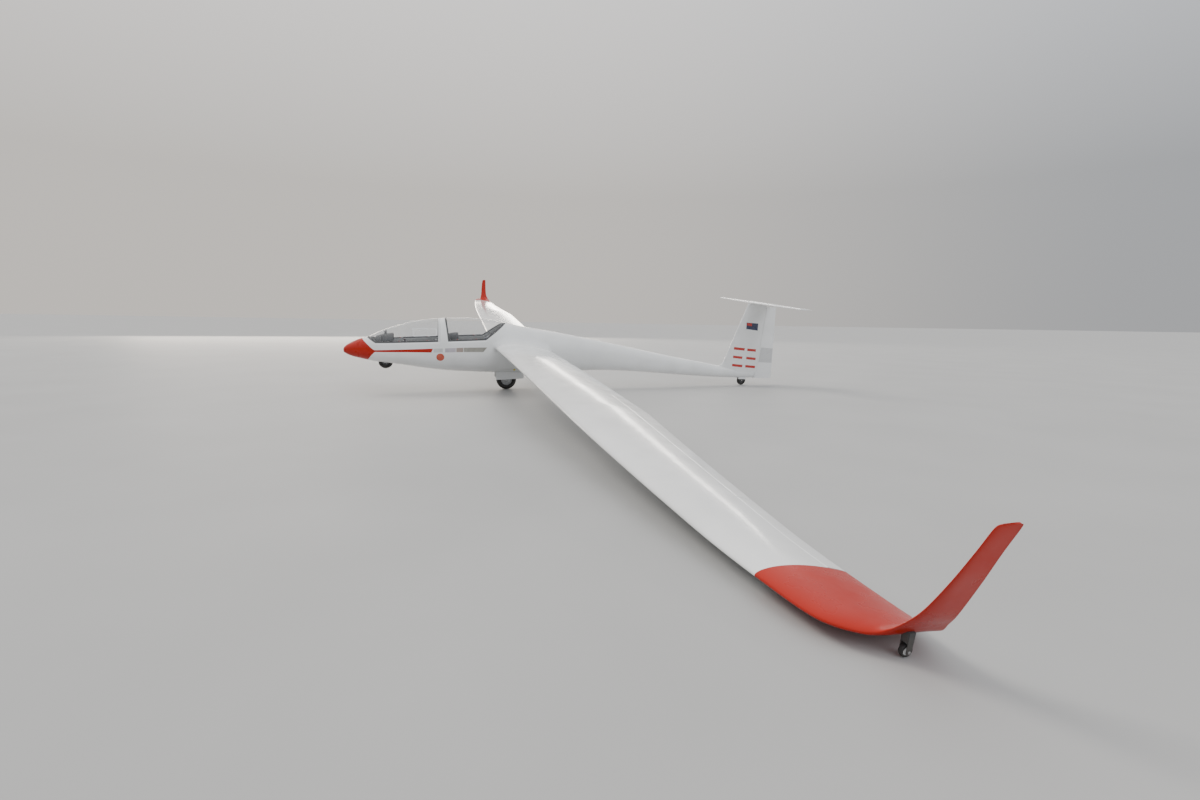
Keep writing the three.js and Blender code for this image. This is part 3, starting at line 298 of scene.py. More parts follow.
def thickened(obj, depth, inner_slot=0, rim_slot=0, out=False):
    """Gives a skin its wall, inwards or outwards by depth in millimetres."""
    solid = obj.modifiers.new("wall", "SOLIDIFY")
    solid.thickness = depth / 1000
    solid.offset = 1 if out else -1
    solid.use_even_offset = False
    solid.material_offset = inner_slot
    solid.material_offset_rim = rim_slot
    apply(obj)
    return obj


def apply(obj):
    dg = bpy.context.evaluated_depsgraph_get()
    mesh = bpy.data.meshes.new_from_object(obj.evaluated_get(dg))
    obj.modifiers.clear()
    obj.data = mesh


class Skin:
    """Collects grids of points and their faces."""

    def __init__(self):
        self.points, self.faces, self.slots, self.count = [], [], [], 0

    def grid(self, rows, closed=False, slot=0, skip=None):
        """Faces between rows of points. slot is a number, or a function of the face's row and place."""
        rows = np.asarray(rows, float)
        n, m = rows.shape[:2]
        base = self.count
        self.points.append(rows.reshape(-1, 3))
        self.count += n * m
        for i in range(n - 1):
            here, there = base + i * m, base + (i + 1) * m
            for j in range(m if closed else m - 1):
                if skip and skip(i, j):
                    continue
                k = (j + 1) % m
                self.face((here + j, here + k, there + k, there + j), slot(i, j) if callable(slot) else slot)
        return base

    def face(self, indices, slot=0):
        self.faces.append(tuple(indices))
        self.slots.append(slot)

    def cap(self, base, m, row=0, slot=0):
        self.face([base + row * m + j for j in range(m)], slot)

    def body(self, rings, slot=0, last_slot=None, skip=None):
        """Closed body through rings of points, with a cap at both ends."""
        m = len(rings[0])
        base = self.grid(rings, True, slot, skip)
        end_slot = 0 if callable(slot) else slot
        self.cap(base, m, 0, end_slot)
        self.cap(base, m, len(rings) - 1, end_slot if last_slot is None else last_slot)

    def piece(self, name, materials, body, points=None, **kw):
        points = np.concatenate(self.points) if points is None else points
        return piece(name, points, self.faces, materials, body, face_slots=self.slots, **kw)


def loft(name, rings, materials, body, slots=0, **kw):
    """Piece of one closed body through rings of points."""
    skin = Skin()
    skin.body(rings, slots)
    return skin.piece(name, materials, body, **kw)


# Fuselage
def spline(knots, values):
    """Natural cubic spline through the knots."""
    n = len(knots)
    h = np.diff(knots)
    matrix = np.eye(n)
    right = np.zeros(n)
    for i in range(1, n - 1):
        matrix[i, i - 1:i + 2] = h[i - 1], 2 * (h[i - 1] + h[i]), h[i]
        right[i] = 6 * ((values[i + 1] - values[i]) / h[i] - (values[i] - values[i - 1]) / h[i - 1])
    second = np.linalg.solve(matrix, right)

    def at(x):
        x = np.asarray(x, float)
        k = np.clip(np.searchsorted(knots, x) - 1, 0, n - 2)
        a, b = knots[k + 1] - x, x - knots[k]
        curved = (second[k] * a ** 3 + second[k + 1] * b ** 3) / (6 * h[k])
        before = (values[k] / h[k] - second[k] * h[k] / 6) * a
        after = (values[k + 1] / h[k] - second[k + 1] * h[k] / 6) * b
        return curved + before + after
    return at


COLUMNS = [spline(np.sqrt(FUSELAGE[:, 0]), FUSELAGE[:, k]) for k in (1, 2, 3, 4)]


def fuselage_at(y):
    root = np.sqrt(np.maximum(y, 0))
    return [column(root) for column in COLUMNS]


def fuselage_point(y, angle, grow=0.0):
    """Point of the skin at a station and an angle: 0 is the port side, 90 degrees the top."""
    y, angle = np.broadcast_arrays(np.asarray(y, float), np.asarray(angle, float))
    half, top, wide, bottom = fuselage_at(y)
    c, s = np.cos(angle), np.sin(angle)
    low = s < 0
    bend = np.where(low, 2 / LOWER_SQUARENESS, 1.0)
    rise = np.where(low, wide - bottom, top - wide) + grow
    x = (half + grow) * np.sign(c) * np.abs(c) ** bend
    z = wide + rise * np.sign(s) * np.abs(s) ** bend
    return np.stack([x, y, z], axis=-1)


def level_at(y, z):
    """Half width at a station, whether a height lies over its widest line, and the shares of the way up
    to the top and down to the bottom."""
    half, top, wide, bottom = fuselage_at(np.asarray(y, float))
    up = np.clip((z - wide) / (top - wide), 0, 1)
    down = np.clip((wide - z) / (wide - bottom), 0, 1)
    return half, z >= wide, up, down


def angle_at(y, z):
    """Angle on the port side where the skin has that height."""
    _, over, up, down = level_at(y, z)
    return np.where(over, np.arcsin(up), -np.arcsin(down ** (LOWER_SQUARENESS / 2)))


def side_x(y, z):
    """Half width of the fuselage at a height."""
    half, over, up, down = level_at(y, z)
    low = (1 - down ** LOWER_SQUARENESS) ** (1 / LOWER_SQUARENESS)
    return half * np.where(over, np.sqrt(1 - up ** 2), low)


def drawn_in(outline, distance):
    """Outline in side view, drawn in by a distance on the edges that face the fuselage."""
    points = np.array(outline, float)
    centre = points.mean(0)
    edges = []
    for p, q in zip(points, np.roll(points, -1, axis=0)):
        along = (q - p) / np.linalg.norm(q - p)
        normal = np.array([along[1], -along[0]])
        if (centre - p) @ normal < 0:
            normal = -normal
        edges.append((p + normal * (0 if p[1] == q[1] == ABOVE else distance), along))
    corners = []
    for (p, a), (q, b) in zip([edges[-1]] + edges[:-1], edges):
        t = ((q - p)[0] * b[1] - (q - p)[1] * b[0]) / (a[0] * b[1] - a[1] * b[0])
        corners.append(p + a * t)
    return corners


def opening_edge(place, distance):
    """Low edge of a canopy's outline, as a function of y, and the stretch of y that it covers."""
    corners = drawn_in(OUTLINES[place], distance)[1:-1]
    ys, zs = np.array([c[0] for c in corners]), np.array([c[1] for c in corners])
    return (lambda y: np.interp(y, ys, zs, left=ABOVE, right=ABOVE)), ys[0], ys[-1]


def edge_angle(place, distance):
    low, start, end = opening_edge(place, distance)

    def at(y):
        y = np.asarray(y, float)
        return np.where((y < start - 1e-6) | (y > end + 1e-6), math.pi / 2, angle_at(y, low(y)))
    return at, start, end


def stations(*spans):
    """Stations from (start, end, step) spans."""
    out = []
    for start, end, step in spans:
        out += list(np.linspace(start, end, max(int(round((end - start) / step)), 1) + 1))
    return np.unique(np.round(out, 4))


def fanned(start, end, n):
    """Rows of n angles from start to end."""
    return start[:, None] + (end - start)[:, None] * np.linspace(0, 1, n)


FRONT_EDGE, FRONT_START, _ = edge_angle("front", 0)
REAR_EDGE = edge_angle("rear", 0)[0]
# Wheel wells: front, back and half width
WELL_MAIN = (2690, 3205, 105)
WELL_NOSE = (568, 852, 54)
TAIL_BEND, TAIL_END = 8250, 8350
# Spans of the skin's stations: start, end and step
FUSELAGE_SPANS = (
    (2, 30, 4), (30, 90, 8), (90, 404, 16), (404, 568, 12), (568, 852, 24), (852, 1655, 36), (1655, 1742, 14.5),
    (1742, 1800, 7.25), (1800, 2480, 36), (2480, 2690, 20), (2690, 2866, 16), (2866, 3205, 24),
    (3205, 4200, 50), (4200, 7300, 90), (7300, TAIL_END, 50),
)
# Faces of the skin on each side and below
SIDE_FACES, LOW_FACES = 26, 8
BAND_POINTS = 21


def low_edge(y):
    """Angle of the upper edge of the fuselage's lower skin."""
    between = angle_at(y, np.interp(y, *np.transpose([SILL_DIVIDER, SILL_REAR_FRONT])))
    out = np.where(y <= SILL_DIVIDER[0], FRONT_EDGE(y), REAR_EDGE(y))
    return np.where((y > SILL_DIVIDER[0]) & (y < SILL_REAR_FRONT[0]), between, out)


def hinge_y(z):
    share = (z - RUDDER["low"]) / (RUDDER["high"] - RUDDER["low"])
    return RUDDER["low_hinge"] + (RUDDER["high_hinge"] - RUDDER["low_hinge"]) * share


def fuselage():
    skin = Skin()
    ys = np.unique(np.concatenate([stations(*FUSELAGE_SPANS), [FRONT_START - 0.05]]))
    top, half = low_edge(ys), fuselage_at(ys)[0]
    strip = np.minimum(np.interp(ys, [0, 1200, 2500], [54, 54, 105]), 0.55 * half)
    bottom = -np.arccos((strip / half) ** (LOWER_SQUARENESS / 2))
    port = fanned(top, bottom, SIDE_FACES + 1)
    under = fanned(bottom, -math.pi - bottom, LOW_FACES + 1)
    angles = np.concatenate([port, under[:, 1:], (-math.pi - port)[:, ::-1][:, 1:]], axis=1)
    rows = fuselage_point(ys[:, None], angles)
    # The end follows the slanted hinge of the rudder
    tail = np.clip((rows[..., 1] - TAIL_BEND) / (TAIL_END - TAIL_BEND), 0, 1)
    rows[..., 1] += tail * (hinge_y(rows[..., 2]) - hinge_y(-266.0))
    holes = [(ys >= start - 1e-6) & (ys < end - 1e-6) for start, end, _ in (WELL_MAIN, WELL_NOSE)]
    hole = holes[0] | holes[1]
    base = skin.grid(rows, skip=lambda i, j: hole[i] and SIDE_FACES <= j < SIDE_FACES + LOW_FACES)
    skin.cap(base, rows.shape[1])
    skin.cap(base, rows.shape[1], len(ys) - 1)
    # Band between the canopies
    ys = ys[(ys >= SILL_DIVIDER[0]) & (ys <= SILL_REAR_FRONT[0])]
    start = low_edge(ys)
    start[0] = angle_at(*SILL_DIVIDER)
    port = fanned(start, REAR_EDGE(ys), BAND_POINTS)
    for angles in (port, math.pi - port):
        skin.grid(fuselage_point(ys[:, None], angles))
    obj = skin.piece("fuselage_skin", [WHITE, LINING], "airframe", replaces=("fuselage_pod", "tail_boom"),
                     slot="white_gelcoat", sharp=40)
    return thickened(obj, SKIN, inner_slot=1, rim_slot=0)


STRIP_POINTS = 7
SHEET_GAP = 0.4


def canopy(place):
    """Frame strips along the sills, the hoop at the back of the front canopy, and the clear sheet."""
    outer, start, end = edge_angle(place, CANOPY_GAP)
    inner, inner_start, inner_end = edge_angle(place, CANOPY_GAP + CANOPY_FRAME)
    body = f"canopy_{place}"
    hoop = place == "front"
    aft = end - CANOPY_FRAME if hoop else end
    ys = stations((start, start + 120, 8), (start + 120, aft - 60, 34), (aft - 60, aft, 10))
    corners = [inner_start - 0.04, inner_start + 0.01, inner_end - 0.01, inner_end + 0.04]
    ys = np.unique(np.concatenate([ys, corners]))
    ys = ys[ys <= aft + 1e-6]
    out, into = outer(ys), np.maximum(inner(ys), outer(ys))
    if hoop:
        into[-1] = inner(aft - 0.02)
    skin = Skin()
    strip = fanned(out, into, STRIP_POINTS)
    for angles in (strip, math.pi - strip):
        skin.grid(fuselage_point(ys[:, None], angles), slot=1)
    if hoop:
        band = stations((aft, end, 9))
        foot = np.full(len(band), into[-1])
        edge = fanned(outer(np.minimum(band, end - 0.01)), foot, STRIP_POINTS)
        across = fanned(foot, math.pi - foot, 41)
        rows = np.concatenate([edge, across[:, 1:-1], (math.pi - edge)[:, ::-1]], axis=1)
        skin.grid(fuselage_point(band[:, None], rows))
    obj = skin.piece(f"{body}_rim", [FRAME_WHITE, FRAME_GREY], body, replaces=(f"{body}_frame",),
                     slot="canopy_frame", sharp=40)
    thickened(obj, SKIN, inner_slot=1, rim_slot=1)
    # Clear sheet, let into the frame
    pane, start, end = edge_angle(place, CANOPY_GAP + CANOPY_FRAME + SHEET_GAP)
    end = min(end, aft - SHEET_GAP)
    ys = stations((start + 0.01, start + 140, 8), (start + 140, end - 140, 30), (end - 140, end - 0.01, 10))
    low = pane(ys)
    skin = Skin()
    skin.grid(fuselage_point(ys[:, None], fanned(low, math.pi - low, 57)))
    obj = skin.piece(f"{body}_sheet", [ACRYLIC], body, replaces=(f"{body}_glass",), slot="canopy_glass", sharp=60)
    thickened(obj, GLASS)


# Aerofoil sections
def half_thickness(s):
    return 5 * (0.2969 * np.sqrt(s) - 0.126 * s - 0.3516 * s ** 2 + 0.2843 * s ** 3 - 0.1036 * s ** 4)


def foil(section, share, side):
    """Points of a section's surface: side 1 above, -1 below."""
    le, te, up, thick, camber = section
    share, side = np.asarray(share, float), np.asarray(side, float)
    chord = np.linalg.norm(te - le, axis=-1)
    height = chord * (camber * 4 * share * (1 - share) + side * thick * half_thickness(share))
    return le + (te - le) * share[..., None] + up * height[..., None]


def wing_section(x):
    x = np.asarray(x, float)
    chord = np.interp(x, WING_CHORD[:, 0], WING_CHORD[:, 1])
    chord = np.where(x < WING_CHORD[0, 0], WING_CHORD[0, 1] + (WING_CHORD[0, 0] - x) * 0.0209, chord)
    y = WING_LE["y"] + WING_LE["slope"] * x + WING_LE["bend"] * np.maximum(x - WING_LE["bend_from"], 0) ** 2
    z = WING_Z["root"] + WING_Z["slope"] * x - WING_Z["sag"] * x * x \
        + WING_Z["tip"] * np.maximum(x - WING_Z["tip_from"], 0) ** 2
    thick = WING_THICKNESS[0] + (WING_THICKNESS[1] - WING_THICKNESS[0]) * x / WING_TIP
    return (np.stack([x, y, z], -1), np.stack([x, y + chord, z - TRAILING_DROP], -1), np.array([0, 0, 1.0]),
            thick, CAMBER)


def hinge_share(section, y):
    return (y - section[0][..., 1]) / (section[1][..., 1] - section[0][..., 1])


def aileron_share(x):
    (x0, y0), (x1, y1) = AILERON_LINE
    return hinge_share(wing_section(x), y0 + (y1 - y0) * (x - x0) / (x1 - x0))


def chord_of(section):
    return float(np.linalg.norm(section[1] - section[0]))


def nose_of(section, share):
    """Middle and radius of a control surface's nose."""
    upper, lower = foil(section, share, 1), foil(section, share, -1)
    return (upper + lower) / 2, float(np.linalg.norm(upper - lower)) / 2


def cosine(start, end, n):
    """Shares from start to end, close together at the start."""
    return start + (end - start) * (1 - np.cos(np.linspace(0, math.pi / 2, n)))


def main_ring(section, share, cove, cap=None, gap=LIP_GAP):
    """Ring of a main surface from its nose over the top, round the cove or the trailing edge, and back
    below. cap gives the shares of a strip's edges on the upper side."""
    chord = chord_of(section)
    lip = share - gap / chord
    mid = cap if cap else (lip * 0.66, lip * 0.68)
    top = np.concatenate([cosine(0, mid[0], 22), np.linspace(mid[0], mid[1], 3)[1:],
                          np.linspace(mid[1], lip, 10)[1:]])
    low = cosine(0, lip, 26)[::-1]
    upper, lower = foil(section, top, 1), foil(section, low, -1)
    if cove:
        wall = share - (nose_of(section, share)[1] + HINGE_GAP) / chord
        inwards = section[2] * LIP
        under = foil(section, np.array([lip, (lip + wall) / 2, wall]), 1) - inwards
        over = foil(section, np.array([wall, (lip + wall) / 2, lip]), -1) + inwards
        back = under[-1] + (over[0] - under[-1]) * np.linspace(0, 1, 8)[1:-1, None]
        inner = np.concatenate([under, back, over])
    else:
        tail = np.linspace(lip, 1, 8)[1:-1]
        edge_below = foil(section, np.array([1.0 - (1 - lip) / 40]), -1)
        inner = np.concatenate([foil(section, tail, 1), section[1][None], edge_below,
                                foil(section, tail[::-1][:4], -1)])
    return np.concatenate([upper, inner, lower[:-1]])


# Faces of the airbrake's cap and of the cove in a main ring
CAP_FACES = range(21, 23)
COVE_FACES = range(32, 45)


def flap_ring(section, share, nose_steps=9, steps=12):
    """Ring of a control surface: round nose at the hinge, then the section's own skins."""
    centre, radius = nose_of(section, share)
    ahead = section[0] - section[1]
    ahead = ahead / np.linalg.norm(ahead)
    arc = [centre + radius * (ahead * math.cos(a) + section[2] * math.sin(a))
           for a in np.linspace(math.radians(78), math.radians(-78), nose_steps)]
    shares = np.linspace(1, share, steps)
    return np.concatenate([foil(section, shares, 1), arc, foil(section, shares[::-1][:-1], -1)])


def cap_shares(x):
    """Shares of the airbrake cap's edges on the wing's upper side."""
    chord = float(np.interp(x, WING_CHORD[:, 0], WING_CHORD[:, 1]))
    half = (BRAKE["cap"] / 2 + 1.5) / chord
    return BRAKE["chord"] - half, BRAKE["chord"] + half


# Fillet between the wing and the fuselage
def fillet_radius(count):
    """Radius round the section, from the nose over the top and back below."""
    around = np.linspace(0, 2 * math.pi, count, endpoint=False)
    behind = np.exp(-((around - math.radians(200)) / 0.42) ** 2)
    return 95 + 45 * np.sin(around) - 15 * np.cos(around) - 42 * behind


def outward(ring):
    """Outward normals of a ring, in the plane across the span."""
    ahead, behind = np.roll(ring, 1, axis=0), np.roll(ring, -1, axis=0)
    along = behind - ahead
    normal = np.stack([0 * along[:, 0], -along[:, 2], along[:, 1]], -1)
    length = np.linalg.norm(normal, axis=1, keepdims=True)
    return normal / np.maximum(length, 1e-9)


def root_ring(x):
    return main_ring(wing_section(x), aileron_share(x), False, cap_shares(x))


def grown(ring, x):
    """Ring of the wing with the part of the fillet that reaches it."""
    radius = fillet_radius(len(ring))
    clear_by = x - side_x(ring[:, 1], ring[:, 2])
    into = np.clip(radius - clear_by, 0, radius)
    return ring + outward(ring) * (radius - np.sqrt(radius ** 2 - into ** 2))[:, None]


# Points that run round the trailing edge in the fillet, and the room between it and the wing's end
FAN_POINTS = 9
FAIRING_END = WING_ROOT - 0.6


def fairing_rings():
    base = root_ring(WING_ROOT)
    radius, normal = fillet_radius(len(base)), outward(base)
    # The trailing edge is fanned out, so that the fillet runs round it
    te = int(np.argmax(base[:, 1]))
    first, last = (math.atan2(normal[k, 2], normal[k, 1]) for k in (te - 1, te + 1))
    turns = np.linspace(first, last, FAN_POINTS)
    fan = np.column_stack([0 * turns, np.cos(turns), np.sin(turns)])
    normal = np.concatenate([normal[:te], fan, normal[te + 1:]])
    copies = np.ones(len(base), int)
    copies[te] = FAN_POINTS
    base, radius = np.repeat(base, copies, axis=0), np.repeat(radius, copies)
    start = np.minimum(FAIRING_END - side_x(base[:, 1], base[:, 2]), radius * 4)
    begin = np.arcsin(np.clip(1 - start / radius, 0, 1))
    rings = []
    for t in np.linspace(0, 1, 15):
        turn = begin + (math.pi / 2 - begin) * t
        away = start if t == 0 else radius * (1 - np.sin(turn))
        growth = radius * (1 - np.cos(turn))
        x = np.full(len(base), float(FAIRING_END)) if t == 0 else side_x(base[:, 1], base[:, 2]) + away
        for _ in range(4):
            ring = base.copy()
            ring[:, 2] += wing_section(x)[0][:, 2] - wing_section(WING_ROOT)[0][2]
            point = ring + normal * growth[:, None]
            if t > 0:
                x = side_x(point[:, 1], point[:, 2]) + away
        point[:, 0] = x
        rings.append(point)
    inner = rings[-1].copy()
    inner[:, 0] -= 9
    return rings + [inner]


COVE_START = 4711.95
SLOT_START, SLOT_END = 2994, 4356
FILLET_END = 700
WING_SPANS = ((WING_ROOT, 460, 10), (460, 640, 20), (640, SLOT_START, 160), (SLOT_START, SLOT_END, 110),
              (SLOT_END, 4712, 90), (4712, 8858, 120))


def wing():
    """Port wing's grid with the airbrake's slot."""
    skin = Skin()
    xs = stations(*WING_SPANS)
    xs = np.unique(np.concatenate([xs, [COVE_START - 0.05, WING_CHORD[1, 0]]]))
    rings = []
    for x in xs:
        ring = main_ring(wing_section(x), aileron_share(x), x > COVE_START, cap_shares(x))
        rings.append(grown(ring, x) if x < FILLET_END else ring)
    inside = (xs >= SLOT_START - 1e-6) & (xs < SLOT_END - 1e-6)
    # Cove faces outboard of the aileron's inner end take slot 2, painted shade in the gap
    skin.body(rings, lambda i, j: 2 if xs[i] > COVE_START and j in COVE_FACES else 0,
              skip=lambda i, j: inside[i] and j in CAP_FACES)
    # Slot under the airbrake's cap
    rows = np.nonzero(inside)[0]
    first, last = CAP_FACES[0], rows[-1] + 1
    loop = [(i, first) for i in rows] + [(last, first), (last, first + 1), (last, first + 2)]
    loop += [(i, first + 2) for i in rows[::-1]] + [(rows[0], first + 1)]
    rim = np.array([rings[i][j] for i, j in loop])
    deep = rim - np.array([0, 0, BRAKE["depth"] * 0.85])
    skin.grid([rim, deep], closed=True, slot=1)
    skin.face([skin.count - len(loop) + k for k in range(len(loop))], slot=1)
    return skin


def mirrored(points):
    return np.asarray(points, float) * np.array([-1, 1, 1])


def brake_cap():
    """Strip of the wing's upper side and the blade under it."""
    skin = Skin()
    xs = np.linspace(BRAKE["start"], BRAKE["end"], 15)
    chord = np.interp(xs, WING_CHORD[:, 0], WING_CHORD[:, 1])
    half = BRAKE["cap"] / 2 / chord
    rows = []
    for x, h in zip(xs, half):
        shares = np.linspace(BRAKE["chord"] - h, BRAKE["chord"] + h, 5)
        top = foil(wing_section(x), shares, 1)
        rows.append(np.concatenate([top, top[::-1] - np.array([0, 0, 3.5])]))
    skin.body(rows)
    rows = []
    for x in xs[(xs > BRAKE["start"] + 10) & (xs < BRAKE["end"] - 10)]:
        at = foil(wing_section(x), BRAKE["chord"], 1)
        rows.append([at + np.array([0, dy, dz]) for dy, dz in ((-2, -3), (2, -3), (2, -100), (-2, -100))])
    skin.body(rows)
    return skin


def smooth_rows(rows, per):
    """Points through the rows on Catmull-Rom curves, per steps to each gap."""
    rows = np.asarray(rows, float)
    out = []
    for k in range(1, len(rows) - 2):
        p = rows[k - 1:k + 3]
        for t in np.linspace(0, 1, per, endpoint=False):
            out.append(0.5 * (2 * p[1] + (p[2] - p[0]) * t + (2 * p[0] - 5 * p[1] + 4 * p[2] - p[3]) * t ** 2
                              + (3 * p[1] - p[0] - 3 * p[2] + p[3]) * t ** 3))
    out.append(rows[-2])
    return np.array(out)


def full_ring(section, n=32):
    angles = np.linspace(0, 2 * math.pi, 2 * n, endpoint=False)
    shares = (1 + np.cos(angles)) / 2
    return foil(section, shares, np.sign(np.round(np.sin(angles), 9)))


def tip_rings():
    table = []
    for x in (8700, WING_TIP + 0.4):
        le, te, _, thick, _ = wing_section(x)
        table.append([*le, *te, 0, thick])
    for le, te, lean, thick in TIP:
        table.append([*le, *te, lean, thick])
    table.append(2 * np.array(table[-1]) - np.array(table[-2]))
    rings = []
    rows = smooth_rows(table, 7)
    for row in rows:
        lean = math.radians(row[6])
        up = np.array([-math.sin(lean), 0, math.cos(lean)])
        rings.append(full_ring((row[:3], row[3:6], up, row[7], CAMBER)))
    end = rings[-1]
    for share in (0.75, 0.45, 0.15):
        ring = end.mean(0) + (end - end.mean(0)) * np.array([share, 1 - (1 - share) * 0.04, 1])
        ring[:, 2] += 3 * (1 - share)
        rings.append(ring)
    return rings


# Fin, rudder, tailplane, elevator
def fin_section(z):
    z = float(z)
    y = FIN["root_y"] + (FIN["top_y"] - FIN["root_y"]) * (z - FIN["root_z"]) / (FIN["top_z"] - FIN["root_z"])
    share = (z - RUDDER["low"]) / (RUDDER["high"] - RUDDER["low"])
    tail = RUDDER["low_tail"] + (RUDDER["high_tail"] - RUDDER["low_tail"]) * share
    thick = FIN["thick"][0] + (FIN["thick"][1] - FIN["thick"][0]) * share
    return np.array([0, y, z]), np.array([0, tail, z]), np.array([1.0, 0, 0]), thick, 0


def rudder_share(z):
    return float(hinge_share(fin_section(z), hinge_y(z)))


# Radius of the fillet between the boom and the fin's nose, its largest growth and its reach aft
FIN_FILLET, FILLET_GROWTH, FILLET_REACH = 110, 75, 140


def fin_rings():
    rings = []
    levels = np.concatenate([np.linspace(FIN["low"], -150, 5), np.linspace(-140, 120, 14),
                             np.linspace(150, 1256, 16)])
    for z in levels:
        section = fin_section(z)
        ring = main_ring(section, rudder_share(z), True, gap=RUDDER_LIP_GAP)
        height = np.clip(z - fuselage_at(ring[:, 1])[1], 0, FIN_FILLET)
        flare = FIN_FILLET - np.sqrt(FIN_FILLET ** 2 - (FIN_FILLET - height) ** 2)
        front = np.clip(1 - (ring[:, 1] - section[0][1]) / FILLET_REACH, 0, 1)
        ring[:, 1] -= np.minimum(flare, FILLET_GROWTH) * front ** 2
        # Under the boom's widest line the fin stays inside the boom
        level = np.full(len(ring), z)
        inside = np.where(level < -225, side_x(np.minimum(ring[:, 1], TAIL_END), level) - 0.4, 500)
        ring[:, 0] = np.clip(ring[:, 0], -inside, inside)
        rings.append(ring)
    return rings


def tail_section(x):
    t = abs(float(x)) / TAILPLANE["half"]
    front = TAILPLANE["root_le"] + (TAILPLANE["tip_le"] - TAILPLANE["root_le"]) * t
    back = TAILPLANE["root_te"] + (TAILPLANE["tip_te"] - TAILPLANE["root_te"]) * t
    return (np.array([x, front, TAILPLANE["z"]]), np.array([x, back, TAILPLANE["z"]]), np.array([0, 0, 1.0]),
            TAILPLANE["thick"], 0)


def elevator_share(x):
    return float(hinge_share(tail_section(x), ELEVATOR["hinge"]))


TIP_ROUND = 12
TIP_STEPS = (0.92, 0.7, 0.4, 0.12)


def tail_tip(side, amount):
    """Ring of the tailplane's rounded end."""
    end = TAILPLANE["half"] - TIP_ROUND
    ring = main_ring(tail_section(side * end), elevator_share(TAILPLANE["half"]), False)
    centre = np.array([0, ring[:, 1].mean(), TAILPLANE["z"]])
    ring = centre + (ring - centre) * np.array([1, 1 - 0.06 * (1 - amount), amount])
    ring[:, 0] = side * (end + TIP_ROUND * math.sqrt(1 - amount ** 2))
    return ring


def tail_rings():
    reach, end = ELEVATOR["half"] + 8, TAILPLANE["half"] - TIP_ROUND
    xs = np.concatenate([[-end, -reach - 0.1], np.linspace(-reach, reach, 29), [reach + 0.1, end]])
    rings = [main_ring(tail_section(x), elevator_share(x), abs(x) <= reach + 0.01) for x in xs]
    return [tail_tip(-1, a) for a in TIP_STEPS[::-1]] + rings + [tail_tip(1, a) for a in TIP_STEPS]


# Solids of turning, bending and stacking
def lengths(path):
    """Distance along a path at each of its points."""
    path = np.asarray(path, float)
    return np.concatenate([[0], np.cumsum(np.linalg.norm(np.diff(path, axis=0), axis=1))])


def spaced(path, step):
    """The same path with points at equal steps."""
    path = np.asarray(path, float)
    at = lengths(path)
    where = np.linspace(0, at[-1], max(int(round(at[-1] / step)), 1) + 1)
    return np.stack([np.interp(where, at, path[:, k]) for k in range(path.shape[1])], axis=-1)


def refined(outline, step):
    """Closed outline with points at about equal steps along each of its edges."""
    points = []
    for p, q in zip(outline, np.roll(outline, -1, axis=0)):
        points += list(spaced([p, q], step)[:-1])
    return np.array(points)


def curve(points, step):
    """Smooth path through the points, with points at about equal steps."""
    points = np.asarray(points, float)
    ends = [2 * points[0] - points[1], *points, 2 * points[-1] - points[-2]]
    return spaced(smooth_rows(ends, 16), step)


def unit(v):
    v = np.asarray(v, float)
    return v / np.maximum(np.linalg.norm(v, axis=-1, keepdims=True), 1e-12)


def turned(skin, profile, centre, axis=(1, 0, 0), steps=64, slot=0):
    """Closed profile of (radius, height along the axis) turned about a line through centre."""
    axis = unit(axis)
    e1 = unit(np.cross(axis, (0, 0, 1) if abs(axis[2]) < 0.9 else (0, 1, 0)))
    e2 = np.cross(axis, e1)
    angles = np.linspace(0, 2 * math.pi, steps, endpoint=False)
    around = np.cos(angles)[:, None] * e1 + np.sin(angles)[:, None] * e2
    rows = [np.asarray(centre, float) + axis * h + around * r for r, h in np.asarray(profile, float)]
    skin.grid(rows + rows[:1], closed=True, slot=slot)


BOX_CORNERS = np.array([(x, y, z) for z in (-1, 1) for x, y in ((-1, -1), (1, -1), (1, 1), (-1, 1))])
BOX_FACES = ((0, 3, 2, 1), (4, 5, 6, 7), (0, 1, 5, 4), (1, 2, 6, 5), (2, 3, 7, 6), (3, 0, 4, 7))


def brick(skin, centre, half, slot=0, turn=None):
    """Box with half sizes along the axes, or along the columns of turn."""
    axes = np.eye(3) if turn is None else np.asarray(turn, float)
    base = skin.count
    skin.points.append(np.array([np.asarray(centre, float) + axes @ (corner * half) for corner in BOX_CORNERS]))
    skin.count += len(BOX_CORNERS)
    for f in BOX_FACES:
        skin.face([base + i for i in f], slot)


def tube(skin, path, radius, sides=12, slot=0):
    """Round rod along a path, with closed ends."""
    path = np.asarray(path, float)
    radius = np.broadcast_to(np.asarray(radius, float), len(path))
    along = unit(np.gradient(path, axis=0))
    side = unit(np.cross(along[0], (0, 0, 1) if abs(along[0][2]) < 0.9 else (0, 1, 0)))
    rings = []
    for p, a, r in zip(path, along, radius):
        side = unit(side - a * (side @ a))
        other = np.cross(a, side)
        angles = np.linspace(0, 2 * math.pi, sides, endpoint=False)
        rings.append(p + r * (np.cos(angles)[:, None] * side + np.sin(angles)[:, None] * other))
    skin.body(rings, slot)


def inset(outline, distance):
    """Closed outline of (y, z), drawn in by a distance."""
    points = np.asarray(outline, float)
    area = np.sum(points[:, 0] * np.roll(points[:, 1], -1) - np.roll(points[:, 0], -1) * points[:, 1])
    way = unit(np.roll(points, -1, axis=0) - points)
    normal = np.stack([-way[:, 1], way[:, 0]], axis=-1) * np.sign(area)
    last = np.roll(normal, 1, axis=0)
    both = unit(normal + last)
    reach = distance / np.maximum(np.sum(both * normal, axis=1), 0.35)
    return points + both * reach[:, None]


